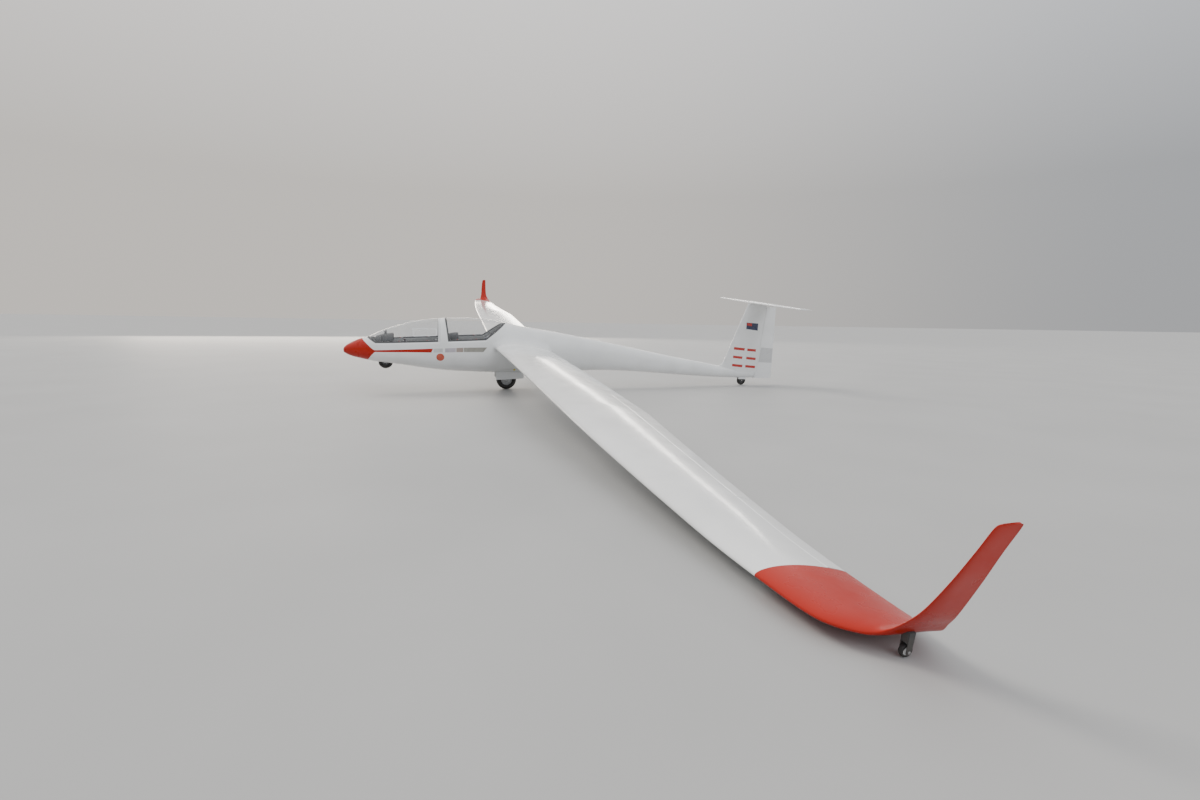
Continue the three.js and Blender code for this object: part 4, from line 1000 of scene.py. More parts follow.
def rounded(outline, radius, steps=6):
    """Outline with its corners rounded. radius is one number, or one for each corner."""
    points = np.asarray(outline, float)
    radius = np.broadcast_to(np.asarray(radius, float), len(points))
    out = []
    for k, p in enumerate(points):
        before, after = points[k - 1], points[(k + 1) % len(points)]
        a, b = unit(before - p), unit(after - p)
        half = math.acos(max(-1, min(1, float(a @ b)))) / 2
        cut = min(radius[k] / math.tan(half), np.linalg.norm(before - p) * 0.48, np.linalg.norm(after - p) * 0.48)
        start, end = p + a * cut, p + b * cut
        for t in np.linspace(0, 1, steps):
            out.append((1 - t) ** 2 * start + 2 * t * (1 - t) * p + t ** 2 * end)
    return np.array(out)


def plate(skin, outline, x0, x1, bevel=1.5, slot=0, place=None):
    """Side view outline (y, z) carried across from x0 to x1, with bevelled edges."""
    small = inset(outline, bevel)
    rings = []
    for shape, x in ((small, x0), (outline, x0 + bevel), (outline, x1 - bevel), (small, x1)):
        ring = np.column_stack([np.full(len(shape), x), shape])
        rings.append(place(ring) if place else ring)
    skin.body(rings, slot)


def sheet_between(skin, outer, inner, slot=0):
    """Thin closed body between two grids of the same size."""
    outer, inner = np.asarray(outer, float), np.asarray(inner, float)
    n, m = outer.shape[:2]
    a = skin.grid(outer, slot=slot)
    b = skin.grid(inner, slot=slot)
    edge = [(0, j) for j in range(m)] + [(i, m - 1) for i in range(1, n)]
    edge += [(n - 1, j) for j in range(m - 2, -1, -1)] + [(i, 0) for i in range(n - 2, 0, -1)]
    for (i, j), (k, l) in zip(edge, edge[1:] + edge[:1]):
        skin.face((a + i * m + j, a + k * m + l, b + k * m + l, b + i * m + j), slot)


# Markings, as thin films on the skin: how far they stand out of it, and how deep their inner side lies
FILM = 0.7
FILM_DEPTH, FIN_FILM_DEPTH = -0.4, -0.3
FILM_STEPS = 13
# Red stripe and band: y, height of the middle, half height
BAND_LINE = np.array([[520, 34, 15], [1057, 64, 24], [1530, 87, 35], [1707, 95, 36], [2080, 119, 40],
                      [2500, 133, 43]])
# Blocks of the band: material, front end and back end at the middle, and how far the ends slant
BAND_BLOCKS = [
    ("stripe_red", RED, 520, 1522, 0, 14), ("band_pale", PALE_GREY, 1547, 1707, 0, 0),
    ("band_lilac", LILAC, 1746, 1936, 0, 0), ("band_brown", BROWN_GREY, 1945, 2069, 0, 0),
    ("band_olive", BAND_GREY, 2078, 2465, 0, 34),
]
# Back edge of the red nose in side view, from the belly to the top: z, y
NOSE_CAP = np.array([[-190, 384], [-128, 427], [-40, 490], [8, 534], [20, 552], [34, 562], [48, 552], [60, 520],
                     [102, 467], [162, 397], [236, 306]])
DISC = dict(y=1665, z=-31, radius=70)
# Yellow domed disc on the port side of the belly: middle (y, z) and radius
BELLY_DISC = dict(y=3038, z=-261, radius=21)
# Bars on the fin as quads of (y, z): top front, top back, low back, low front
FIN_BARS = [
    [[7790, 308], [8046, 291], [8040, 236], [7786, 252]], [[7786, 122], [8010, 108], [8006, 54], [7784, 68]],
    [[7783, -58], [8036, -75], [8034, -130], [7782, -113]], [[8107, 287], [8330, 273], [8330, 218], [8107, 232]],
    [[8107, 104], [8350, 88], [8352, 34], [8107, 50]], [[8107, -76], [8362, -92], [8364, -147], [8107, -131]],
]
FIN_FIELD = [[8015, 844], [8301, 835], [8309, 681], [8023, 704]]
RUDDER_BAND = [[8450, 314], [8774, 300], [8798, -24], [8435, -9]]
FIN_CORNER = [[8028, 836], [8146, 832], [8150, 772], [8032, 780]]


def skin_film(y, z, grow):
    return fuselage_point(y, angle_at(y, z), grow)


def band_block(name, m, front, back, slant_front, slant_back):
    v = np.linspace(-1, 1, 5)
    t = np.linspace(0, 1, max(int((back - front) / 34), 4))
    start, end = front + slant_front * v, back + slant_back * v
    y = start + (end - start) * t[:, None]
    z = np.interp(y, BAND_LINE[:, 0], BAND_LINE[:, 1]) + v * np.interp(y, BAND_LINE[:, 0], BAND_LINE[:, 2])
    skin = Skin()
    for side in (1, -1):
        sheet_between(skin, *(skin_film(y, z, grow) * [side, 1, 1] for grow in (FILM, FILM_DEPTH)))
    skin.piece(name, m, "airframe")


def nose_cap():
    """Film over the nose, whose back edge is found by steps at each angle."""
    angles = np.linspace(0, 2 * math.pi, 145)
    back = np.full(len(angles), 420.0)
    for _ in range(60):
        z = fuselage_point(back, angles)[:, 2]
        back = back * 0.6 + np.interp(z, NOSE_CAP[:, 0], NOSE_CAP[:, 1]) * 0.4
    share = np.linspace(0, 1, 30) ** 1.6
    y = back * share[:, None]
    outer, inner = fuselage_point(y, angles, FILM + 0.2), fuselage_point(y, angles, FILM_DEPTH)
    outer[0], inner[0] = [0, -FILM - 0.2, 3.5], [0, -FILM_DEPTH, 3.5]
    skin = Skin()
    m, last = len(angles), len(share) - 1
    a, b = (skin.grid(rows) + last * m for rows in (outer, inner))
    for j in range(m - 1):
        skin.face((a + j, a + j + 1, b + j + 1, b + j))
    skin.piece("nose_cap", RED, "airframe", slot="red_gelcoat", weld=0.05)


def disc_on_skin(name, m, spec, height, side=1, dome=0.0):
    around = np.linspace(0, 2 * math.pi, 56, endpoint=False)
    rings = []
    for share, grow in ((0.02, FILM_DEPTH), (1, FILM_DEPTH), (1, height * 0.7), (0.985, height),
                        (0.8, height + dome * 0.4), (0.5, height + dome * 0.8), (0.25, height + dome),
                        (0.02, height + dome)):
        r = spec["radius"] * share
        y, z = spec["y"] + r * np.cos(around), spec["z"] + r * np.sin(around)
        rings.append(skin_film(y, z, grow) * [side, 1, 1])
    loft(name, rings, m, "airframe", sharp=50)


def fin_mark(name, m, quads, height, body="airframe"):
    """Films over quads of the fin's side, on both sides."""
    skin = Skin()
    t = np.linspace(0, 1, FILM_STEPS)[:, None]
    for side in (1, -1):
        for quad in np.asarray(quads, float):
            front, back = quad[0] + (quad[3] - quad[0]) * t, quad[1] + (quad[2] - quad[1]) * t
            spots = front[:, None] + (back - front)[:, None] * t
            flat = np.array([[foil(fin_section(z), hinge_share(fin_section(z), y), 1) for y, z in row]
                             for row in spots])
            sheet_between(skin, *((flat + [grow, 0, 0]) * [side, 1, 1] for grow in (height, FIN_FILM_DEPTH)))
    skin.piece(name, m, body)


# Wheels, forks, doors and wells
# Half of a tyre's section: share of the height, share of the half width
TYRE = np.array([[0, 0.62], [0.28, 0.88], [0.55, 1], [0.9, 0.72], [1, 0.3]])
BEAD_GAP = 0.3
BORE_GAP = 0.4


def two_sided(line):
    """Profile of radius and height with its mirror image below."""
    return [*line, *([r, -h] for r, h in line[::-1])]


def rod(skin, radius, half, centre, steps, slot=0):
    """Round rod across the aircraft."""
    turned(skin, [[0.2, -half], [radius, -half], [radius, half], [0.2, half]], centre, steps=steps, slot=slot)


def tyre_profile(rim, radius, half, grooves):
    """Closed section with grooves round the tread, and a raised line and a sunk line on each wall."""
    height = rim + BEAD_GAP + TYRE[:, 0] * (radius - rim - BEAD_GAP)
    right = np.column_stack([height, half * TYRE[:, 1]])
    path = curve(np.vstack([right, right[::-1] * [1, -1]]), 1.1)
    path[:, 0] = np.minimum(path[:, 0], radius)
    tread = path[:, 0] > radius - half * 0.2
    for at in grooves:
        path[:, 0] -= tread * 0.035 * half * np.exp(-((path[:, 1] - at * half) / (0.03 * half)) ** 4)
    wall = (path[:, 0] - rim) / (radius - rim)
    path[:, 1] *= 1 + 0.016 * np.exp(-((wall - 0.42) / 0.035) ** 4) - 0.012 * np.exp(-((wall - 0.12) / 0.03) ** 4)
    return path


def wheel(name, spec, grooves, bolts):
    """Tyre, turned rim, and the rim's bolts with the valve."""
    rim, radius, half, axle = (spec[key] for key in ("rim", "radius", "half", "axle"))
    centre = np.array([0, spec["y"], spec["z"]], float)
    body = f"{name}_wheel"
    skin = Skin()
    turned(skin, tyre_profile(rim, radius, half, grooves), centre, steps=88)
    skin.piece(f"{name}_tyre_tread", RUBBER, body, replaces=(f"{name}_tyre",), slot="tyre_rubber", sharp=38)
    hub = axle + 14
    line = [(axle + BORE_GAP, 1.06), (axle + 1.6, 1.08), (hub - 2, 1.08), (hub, 1.04), (hub + 0.5, 0.42),
            (hub + 3, 0.32), (hub + 8, 0.3), (rim - 18, 0.3), (rim - 12, 0.36), (rim - 9, 0.5), (rim - 8, 0.74),
            (rim - 6.5, 0.8), (rim - 1, 0.8), (rim, 0.77)]
    skin = Skin()
    turned(skin, two_sided([[r, half * share] for r, share in line]), centre, steps=72)
    # The main wheel's rim is bright alloy; the nose and tail rims take painted shade
    skin.piece(f"{name}_rim_turned", ALLOY if name == "main" else SHADED_RIM, body, replaces=(f"{name}_rim",),
               slot="wheel_alloy", sharp=30)
    skin = Skin()
    ring = (hub + rim - 10) / 2 + 2
    for k in range(bolts):
        angle = 2 * math.pi * k / bolts
        for way in (1, -1):
            at = centre + [way * half * 0.3, ring * math.cos(angle), ring * math.sin(angle)]
            turned(skin, [[0.2, -2], [4.6, -2], [4.6, 3.2], [3.9, 4], [0.2, 4]], at, (way, 0, 0), 6)
    valve = [[0.2, 0], [2.4, 0], [2.4, 9], [1.6, 12], [0.2, 12]]
    turned(skin, valve, centre + [half * 0.3, 0, rim - 17], (1, 0.2, 0.5), 10)
    skin.piece(f"{name}_wheel_bolts", STEEL, body)


def skin_height(x, y):
    """Height of the belly at a distance from the middle."""
    half, _, wide, bottom = fuselage_at(y)
    share = np.clip(np.abs(x) / half, 0, 1)
    return wide - (wide - bottom) * (1 - share ** LOWER_SQUARENESS) ** (1 / LOWER_SQUARENESS)


def well(name, spec, roof, **kw):
    """Box of a wheel well, let into the belly."""
    front, back, half = spec
    edge = refined(rounded([[half, front], [half, back], [-half, back], [-half, front]], 9, 4), 18)
    low = np.column_stack([edge, skin_height(edge[:, 0], edge[:, 1]) + 4])
    high = np.column_stack([edge, np.full(len(edge), roof)])
    skin = Skin()
    rows = [low + (high - low) * t for t in (0, 0.35, 0.7, 0.97)]
    middle = [0, (front + back) / 2]
    high[:, :2] = middle + (edge - middle) * 0.97
    base = skin.grid(rows + [high], closed=True)
    skin.cap(base, len(edge), len(rows))
    thickened(skin.piece(name, WELL, "airframe", **kw), 4, out=True)


def main_gear():
    y, z, axle = MAIN["y"], MAIN["z"], MAIN["axle"]
    skin = Skin()
    outline = rounded([[y - 34, z - 27], [y + 34, z - 27], [y + 60, -131], [y - 90, -131]], [22, 22, 4, 4])
    for x in (-98, 86):
        plate(skin, outline, x, x + 12, 1.5)
    # Raised ribs on the outer side of both plates
    step = rounded([[y - 20, z + 90], [y + 26, z + 90], [y + 38, -175], [y - 58, -175]], 14)
    for rib, top in ((-100, -102), (96, 98)):
        plate(skin, inset(outline, 9), rib, rib + 4, 1)
        plate(skin, step, top, top + 4, 1.4)
    brick(skin, [0, y - 15, -140], [97, 74, 9.5])
    for way in (1, -1):
        turned(skin, [[axle + BORE_GAP, 0], [24, 0], [24, 4], [22, 6], [axle + BORE_GAP, 6]], [98 * way, y, z],
               (way, 0, 0), 40)
    skin.piece("main_fork", GEAR, "airframe", replaces=("main_gear_fork",), slot="gear_steel", sharp=30)
    skin = Skin()
    turned(skin, two_sided([[0.2, 101], [axle - 1.5, 101], [axle, 99.5]])[::-1], [0, y, z], steps=40)
    skin.piece("main_axle_turned", STEEL, "airframe", replaces=("main_axle",), slot="gear_steel", sharp=30)
    for name, side in (("port", 1), ("starboard", -1)):
        gear_door(name, side)


# Gear doors: outline (y, z), the line that they hang from, how far they lean out, and how much they bow
DOOR_LINE = [[2702, -300], [3236, -300], [3238, -437], [3200, -447], [2728, -482], [2706, -468]]
DOOR = dict(x=118, z=-330, lean=math.radians(7), bow=5, middle=(2968, -390), half=95, hinges=(2800, 2968, 3130))


def hung(points, side):
    """Points of a flat door in the place where it hangs."""
    c, s = math.cos(DOOR["lean"]), math.sin(DOOR["lean"])
    bow = DOOR["bow"] * (1 - ((points[:, 2] - DOOR["middle"][1]) / DOOR["half"]) ** 2)
    x, h = points[:, 0] + bow * 0.6, points[:, 2] - DOOR["z"]
    return np.column_stack([side * (DOOR["x"] + x * c - h * s), points[:, 1], DOOR["z"] + h * c + x * s])


def gear_door(name, side):
    skin = Skin()
    shape = refined(rounded(DOOR_LINE, [4, 4, 14, 24, 24, 12]), 30)
    middle = np.array(DOOR["middle"])
    half = [(0.02, -2.5), (0.35, -2.5), (0.7, -2.5), (0.985, -2.5), (1, -1.4)]
    rings = []
    for share, x in two_sided(half):
        ring = middle + (shape - middle) * share
        rings.append(hung(np.column_stack([np.full(len(ring), x), ring]), side))
    skin.body(rings)
    c, s = math.cos(DOOR["lean"]), side * math.sin(DOOR["lean"])
    for at in DOOR["hinges"]:
        brick(skin, hung(np.array([[-6.0, at, -345.0]]), side)[0], [5, 26, 16], 1, [[c, 0, -s], [0, 1, 0], [s, 0, c]])
    skin.piece(f"door_{name}", [WHITE, GEAR], "airframe", replaces=(f"gear_door_{name}",), slot="white_gelcoat",
               sharp=40)


def nose_gear():
    y, z, axle = NOSE["y"], NOSE["z"], NOSE["axle"]
    well("nose_well", WELL_NOSE, -60, replaces=("nose_wheel_box",), slot="gear_steel")
    skin = Skin()
    outline = rounded([[y - 26, z - 18], [y + 26, z - 18], [y + 40, -61], [y - 40, -61]], [14, 14, 2, 2])
    for x in (-52, 48):
        plate(skin, outline, x, x + 4, 0.8)
    rod(skin, axle, 51.8, [0, y, z], 32)
    skin.piece("nose_fork", GEAR, "airframe", sharp=30)


def tail_gear():
    y, z, axle = TAIL["y"], TAIL["z"], TAIL["axle"]
    skin = Skin()
    fairing = rounded([[y - 96, -368], [y - 88, -400], [y + 91, -400], [y + 100, -368], [y + 60, -314.5],
                       [y - 60, -314.5]], [10, 10, 10, 10, 4, 4])
    fork = rounded([[y - 80, -394], [y - 70, z + 6], [y - 20, z - 22], [y + 20, z - 22], [y + 80, z + 14],
                    [y + 86, -394]], [2, 26, 20, 20, 26, 2])
    for x, way in ((-35, -1), (30, 1)):
        plate(skin, fairing, x, x + 5, 1.6)
        plate(skin, fork, x + 0.6, x + 4.4, 1.2, 2)
        turned(skin, [[0.2, -1], [12, -1], [12, 2], [10, 4], [0.2, 4]], [way * 35, y, z], (way, 0, 0), 6, 1)
    brick(skin, [0, y, -317.5], [31, 59, 3])
    rod(skin, axle, 32, [0, y, z], 24, 1)
    skin.piece("tail_fairing", [WHITE, STEEL, DARK_GEAR], "airframe", replaces=("tail_wheel_fork",),
               slot="white_gelcoat", sharp=30)


def tip_gear(name, side):
    """Bracket under the wing tip with its small roller."""
    x, y, z, radius, half, axle = (TIP_WHEEL[key] for key in ("x", "y", "z", "radius", "half", "axle"))
    centre, turn = np.array([side * x, y, z]), np.array([side, 1, 1])
    skin = Skin()
    outline = rounded([[y - 13, z - 13], [y + 13, z - 13], [y + 16, z + 90], [y - 16, z + 90]], [12, 12, 2, 2])
    block = rounded([[y - 17, z + 37], [y + 17, z + 37], [y + 17, z + 92], [y - 17, z + 92]], 5)
    for shape, x0, x1, bevel in ((outline, x - 20, x - 16, 1), (outline, x + 16, x + 20, 1),
                                 (block, x - 15.5, x + 15.5, 2)):
        plate(skin, shape, x0, x1, bevel, place=lambda ring: ring * turn)
    rod(skin, axle, 17, centre, 20, 1)
    for way in (1, -1):
        turned(skin, [[0.2, -1], [7, -1], [7, 2], [6, 3.4], [0.2, 3.4]], centre + [side * way * 20, 0, 0],
               (way * side, 0, 0), 6, 1)
    skin.piece(f"tip_bracket_{name}", [DARK_GEAR, STEEL], "airframe", replaces=(f"tip_fork_{name}",),
               slot="gear_steel", sharp=30)
    skin = Skin()
    line = [[axle + BORE_GAP, half], [axle + 6, half], [axle + 7, half - 2.5], [radius - 11, half - 2.5],
            [radius - 9.5, half - 0.5], [radius - 4, half - 0.2], [radius - 1.2, half * 0.72], [radius, half * 0.4]]
    hub = (0, 1, 2, 12, 13, 14, 15)
    turned(skin, two_sided(line), centre, steps=56, slot=lambda i, j: int(i in hub))
    skin.piece(f"tip_roller_{name}", [RUBBER, WHITE], f"tip_wheel_{name}", replaces=(f"tip_wheel_{name}",),
               slot="tyre_rubber", sharp=30)


# Cockpit
COCKPIT = dict(front=332, rear_low=(2400, -600), rear_high=(2870, 620))
SEAT_LINES = {
    "front": [[1120, -180], [1240, -196], [1335, -208], [1376, -202], [1406, -166], [1440, -92], [1520, 72],
              [1592, 221]],
    "rear": [[2060, -120], [2180, -138], [2276, -151], [2320, -146], [2350, -110], [2384, -38], [2470, 152],
             [2552, 336]],
}
# Cushions: start and end on the seat (y, z), half widths, thickness, number of sewn channels
CUSHIONS = {
    "front": {"pan": ([1134, -182], [1350, -211], 200, 192, 37, 2),
              "back": ([1404, -172], [1578, 192], 190, 184, 36, 4)},
    "rear": {"pan": ([2074, -122], [2292, -154], 200, 192, 37, 2),
             "back": ([2348, -116], [2538, 306], 190, 186, 36, 4)},
}
CANOPY_ROOM = 38


def inside_x(y, z, room=2.0):
    """Half width of the cockpit's inside at a height."""
    return side_x(np.asarray(y, float), np.asarray(z, float)) - SKIN - room


def swell(x, low, high):
    t = np.clip((x - low) / (high - low), 0, 1)
    return t * t * (3 - 2 * t)


def wall_to_wall(width, y, z, x0=-1, x1=1):
    """Grid across the cockpit at stations y and heights z, between two shares of its half width."""
    x = width[:, None] * np.linspace(x0, x1, 17)
    return np.stack([x, np.tile(y[:, None], 17), np.tile(z[:, None], 17)], -1)


def bulkheads():
    ring = fuselage_point(COCKPIT["front"], np.linspace(0, 2 * math.pi, 73), -SKIN + 0.5)
    middle = np.array([0, COCKPIT["front"], 40.0])
    grid = middle + (ring - middle) * np.linspace(0.02, 1, 5)[:, None, None]
    skin = Skin()
    sheet_between(skin, grid, grid - np.array([0, 5, 0]))
    (y0, z0), (y1, z1) = COCKPIT["rear_low"], COCKPIT["rear_high"]
    z = np.linspace(-316, 590, 26)
    y = y0 + (z - z0) * (y1 - y0) / (z1 - z0)
    grid = wall_to_wall(np.nan_to_num(inside_x(y, z, -0.5), nan=10), y, z)
    sheet_between(skin, grid, grid + np.array([0, 6, 0]))
    skin.piece("cockpit_bulkheads", LINING, "airframe")


# Height of the floor at stations, and its plates: front, back, and the shares of the width between them
FLOOR_LINE = np.array([[340, -96], [620, -140], [1116, -184]])
REAR_FLOOR_LINE = np.array([[1612, -196], [2056, -150]])
FLOOR_PLATES = ((340, 548, -1, 1), (548, 872, 0.24, 1), (548, 872, -1, -0.24), (872, 1116, -1, 1))


def cockpit_floor():
    skin = Skin()
    plates = [(FLOOR_LINE, *plate) for plate in FLOOR_PLATES] + [(REAR_FLOOR_LINE, 1612, 2056, -1, 1)]
    for line, front, back, x0, x1 in plates:
        y = np.linspace(front, back, 10)
        z = np.interp(y, *line.T)
        grid = wall_to_wall(inside_x(y, z), y, z, x0, x1)
        sheet_between(skin, grid, grid - np.array([0, 0, 4]))
    skin.piece("cockpit_floor", LINING, "airframe")


def consoles():
    """Ledges along the cockpit's walls."""
    for name, front, back, high in (("front", 900, 1585, 92), ("rear", 1990, 2560, 150)):
        skin = Skin()
        for side in (1, -1):
            rings = []
            for y in stations((front, front + 60, 6), (front + 60, back - 60, 26), (back - 60, back, 6)):
                top = high + 18 * (y - front) / (back - front)
                end = swell(min(y - front, back - y), -6, 54) ** 0.6
                deep = 62 * end + 3
                low = top - 82 * end
                shape = [[0, top], [deep * 0.7, top], [deep * 0.92, top - 5 * end], [deep, top - 14 * end],
                         [deep * 0.96, low + 16 * end], [deep * 0.8, low + 5 * end], [deep * 0.5, low], [0, low]]
                rings.append([[side * (float(inside_x(y, z, 1)) - d), y, z] for d, z in shape])
            skin.body(rings)
        skin.piece(f"side_ledges_{name}", SHELL, "airframe", sharp=50)


def lever(skin, x, y, z, length, knob, rise=30):
    """Rod through the ledge with a knob at its top."""
    path = curve([[x, y, z], [x - 4, y - length * 0.5, z + rise * 0.5], [x - 10, y - length, z + rise]], 8)
    tube(skin, path, 5, 12, 0)
    turned(skin, [[0.2, -13], [6, -13], [10, -10], [12.5, -3], [12.5, 4], [10, 11], [5, 14], [0.2, 14.5]],
           path[-1], (0.1, -0.5, 0.9), 24, knob)


def levers(name, at, high):
    """Three levers on the ledges, with their slots."""
    skin = Skin()
    wall = float(inside_x(at, high))
    lever(skin, wall - 34, at + 90, high - 6, 70, 1, 34)
    lever(skin, wall - 20, at + 260, high + 4, 40, 3, 26)
    for x in (wall - 34, wall - 20):
        brick(skin, [x, at + 150, high + 2], [3.5, 120, 3], 4)
    lever(skin, -(wall - 26), at + 170, high + 2, 54, 4, 32)
    brick(skin, [-(wall - 26), at + 190, high + 1], [3.5, 80, 3], 4)
    materials = [STEEL] + [KNOBS[color] for color in ("blue", "yellow", "green", "black", "red")]
    skin.piece(f"cockpit_levers_{name}", materials, "airframe", sharp=40)


# Rudder pedals: station, height, and how far they lean
PEDAL = dict(y=470, z=-60, lean=0.2)


def pedals():
    y, z = PEDAL["y"], PEDAL["z"]
    c, s = math.cos(PEDAL["lean"]), math.sin(PEDAL["lean"])
    skin = Skin()
    for side in (1, -1):
        for x in (24, 122):
            tube(skin, [[side * x, y + 26, -112], [side * x, y, z], [side * x, y - 8, z + 60]], 6, 10)
        brick(skin, [side * 73, y - 4, z + 24], [52, 4, 34], 1, [[1, 0, 0], [0, c, -s], [0, s, c]])
        for k in range(5):
            brick(skin, [side * 73, y + 3 - k * 1.6, z + 2 + 11 * k], [46, 2.5, 2], 1)
    tube(skin, [[-150, y + 26, -110], [150, y + 26, -110]], 8, 12)
    skin.piece("rudder_pedals", [STEEL, GRIP], "airframe", sharp=40)


def seat_profile(place, n=60):
    """Points of the seat's upper side in side view, and the normals towards the sitter."""
    line = curve(SEAT_LINES[place], 4)
    line = spaced(line, lengths(line)[-1] / n)
    way = unit(np.gradient(line, axis=0))
    return line, np.stack([-way[:, 1], way[:, 0]], axis=-1)


def seat(place):
    """Shell with raised sides, a sunk line along them, and rolled edges at both ends."""
    line, normal = seat_profile(place)
    u = np.linspace(-1, 1, 45)
    t = np.linspace(0, 1, len(line))
    width = np.minimum(inside_x(line[:, 0], line[:, 1]), 262) * (1 - 0.2 * swell(t, 0.9, 1.01) ** 2)
    lift = 30 * swell(np.abs(u), 0.76, 1)[None, :] ** 1.5 * np.ones_like(t)[:, None]
    ends = swell(t, 0.02, 0.06)[:, None] * swell(1 - t, 0.02, 0.06)[:, None]
    rib = 2.2 * np.exp(-((np.abs(u) - 0.79) / 0.02) ** 4)[None, :] * ends
    lip = 12 * (np.exp(-(t / 0.018) ** 2) + np.exp(-((t - 1) / 0.012) ** 2))[:, None]
    height = lift - rib - lip
    shape = np.stack([width[:, None] * u, line[:, 0, None] + normal[:, 0, None] * height,
                      line[:, 1, None] + normal[:, 1, None] * height], -1)
    back = shape - np.stack([0 * t, normal[:, 0], normal[:, 1]], -1)[:, None, :] * 6
    skin = Skin()
    sheet_between(skin, shape, back)
    skin.piece(f"seat_{place}_moulded", SHELL, "airframe", replaces=(f"seat_{place}",), slot="seat_grey", sharp=45)


def simulated(name, points, faces, reach):
    """Fills a closed form like a stuffed cover, and returns its points (mm) and faces."""
    mesh = bpy.data.meshes.new(name)
    mesh.from_pydata([tuple(p) for p in np.asarray(points) / 1000], [], [tuple(f) for f in faces])
    obj = bpy.data.objects.new(name, mesh)
    bpy.context.scene.collection.objects.link(obj)
    cleaned(obj, 0.0002)
    remesh = obj.modifiers.new("even", "REMESH")
    remesh.mode = "VOXEL"
    remesh.voxel_size = 0.006
    apply(obj)
    start = np.array([v.co for v in obj.data.vertices])
    polygons = [tuple(p.vertices) for p in obj.data.polygons]
    soft = obj.modifiers.new("stuffing", "CLOTH")
    soft.settings.use_pressure = True
    soft.settings.uniform_pressure_force = 4
    soft.settings.effector_weights.gravity = 0
    soft.settings.quality = 4
    soft.settings.tension_stiffness = 12
    soft.settings.compression_stiffness = 8
    soft.settings.bending_stiffness = 0.6
    soft.point_cache.frame_start, soft.point_cache.frame_end = 1, 20
    for frame_at in range(1, 21):
        bpy.context.scene.frame_set(frame_at)
    mesh = obj.evaluated_get(bpy.context.evaluated_depsgraph_get()).to_mesh()
    end = np.array([v.co for v in mesh.vertices])
    move = end - start
    far = np.linalg.norm(move, axis=1, keepdims=True)
    start = start + move * np.minimum(1, reach / 1000 / np.maximum(far, 1e-9))
    bpy.context.scene.frame_set(1)
    bpy.data.objects.remove(obj)
    return start * 1000, polygons


# Rings of a cushion's form: share of the outline, share of the height
PAD_RINGS = ((0.02, 0.97), (0.35, 0.96), (0.6, 0.93), (0.78, 0.87), (0.9, 0.77), (0.97, 0.63), (1, 0.45),
             (0.99, 0.22), (0.965, 0.06), (0.9, 0.02), (0.5, 0.012), (0.02, 0.012))
PAD_REACH = 22
CHANNEL = dict(depth=8.5, width=7.5, side_depth=5.5, side_width=6.5, side_at=0.52)
PIPING = dict(radius=2.3, level=0.42, steps=161)


def squarish(angle, power):
    """Cosine and sine of a rounded square."""
    c, s = np.cos(angle), np.sin(angle)
    return np.sign(c) * np.abs(c) ** power, np.sign(s) * np.abs(s) ** power


def pad_rings(length, w0, w1, thick):
    """Crowned form of a cushion: across, along and up."""
    a, b = squarish(np.linspace(0, 2 * math.pi, 96, endpoint=False), 0.32)
    pull = 0.035
    a, b = a * (1 - pull * (1 - b * b)), b * (1 - 1.6 * pull * (1 - a * a))
    rings = []
    for share, height in PAD_RINGS:
        along = length * (0.5 + 0.485 * b * share)
        width = (w0 + (w1 - w0) * along / length) * 0.985
        rings.append(np.column_stack([a * width * share, along, np.full(len(a), thick * 0.86 * height)]))
    return rings


def pressed(h, thick):
    """Heights of a cushion with its crown pressed down to 1.1 times its thickness."""
    low = thick * 0.8
    share = min(1, thick * 0.3 / max(float(h.max()) - low, 1e-6))
    return np.where(h > low, low + (h - low) * share, h)


def sewn(x, s, h, length, w0, thick, channels, sides, phase):
    """Heights of a cushion with its sewn channels and a faint wrinkle."""
    top = swell(h, thick * 0.3, thick * 0.7)
    spread = np.clip(1 - (np.abs(x) / (w0 * 0.97)) ** 4, 0, 1)
    for k in range(channels):
        at = length * (k + 1) / (channels + 1)
        h = h - top * spread * CHANNEL["depth"] * np.exp(-np.abs((s - at) / CHANNEL["width"]) ** 1.6)
    for at in (-CHANNEL["side_at"] * w0, CHANNEL["side_at"] * w0) if sides else ():
        groove = CHANNEL["side_depth"] * np.exp(-np.abs((x - at) / CHANNEL["side_width"]) ** 1.6)
        h = h - top * groove * np.clip(1 - (2 * s / length - 1) ** 6, 0, 1)
    wrinkle = np.sin(s * 0.11 + 2.1 * np.sin(x * 0.045 + phase)) * np.sin(x * 0.06 + s * 0.03)
    return h + top * 0.7 * wrinkle


def seam_ring(x, s, h, length, w0, level):
    """Line round a cushion on its own edge at a level: across, along and up."""
    angle = np.linspace(0, 2 * math.pi, PIPING["steps"])
    near = np.abs(h - level) < 6
    from_middle = (s - length / 2) / (length / 2)
    around, reach = np.arctan2(x / w0, from_middle), np.hypot(x / w0, from_middle)
    seam = []
    for a in angle:
        pick = near & (np.abs(np.angle(np.exp(1j * (around - a)))) < 0.06)
        seam.append(reach[pick].max() if pick.any() else np.nan)
    seam = np.where(np.isnan(seam), np.nanmean(seam), seam)
    seam = np.convolve(np.concatenate([seam[-3:-1], seam, seam[1:3]]), np.ones(5) / 5, "valid")
    return np.column_stack([seam * np.sin(angle) * w0, length / 2 + seam * np.cos(angle) * length / 2,
                            np.full(len(angle), level)])


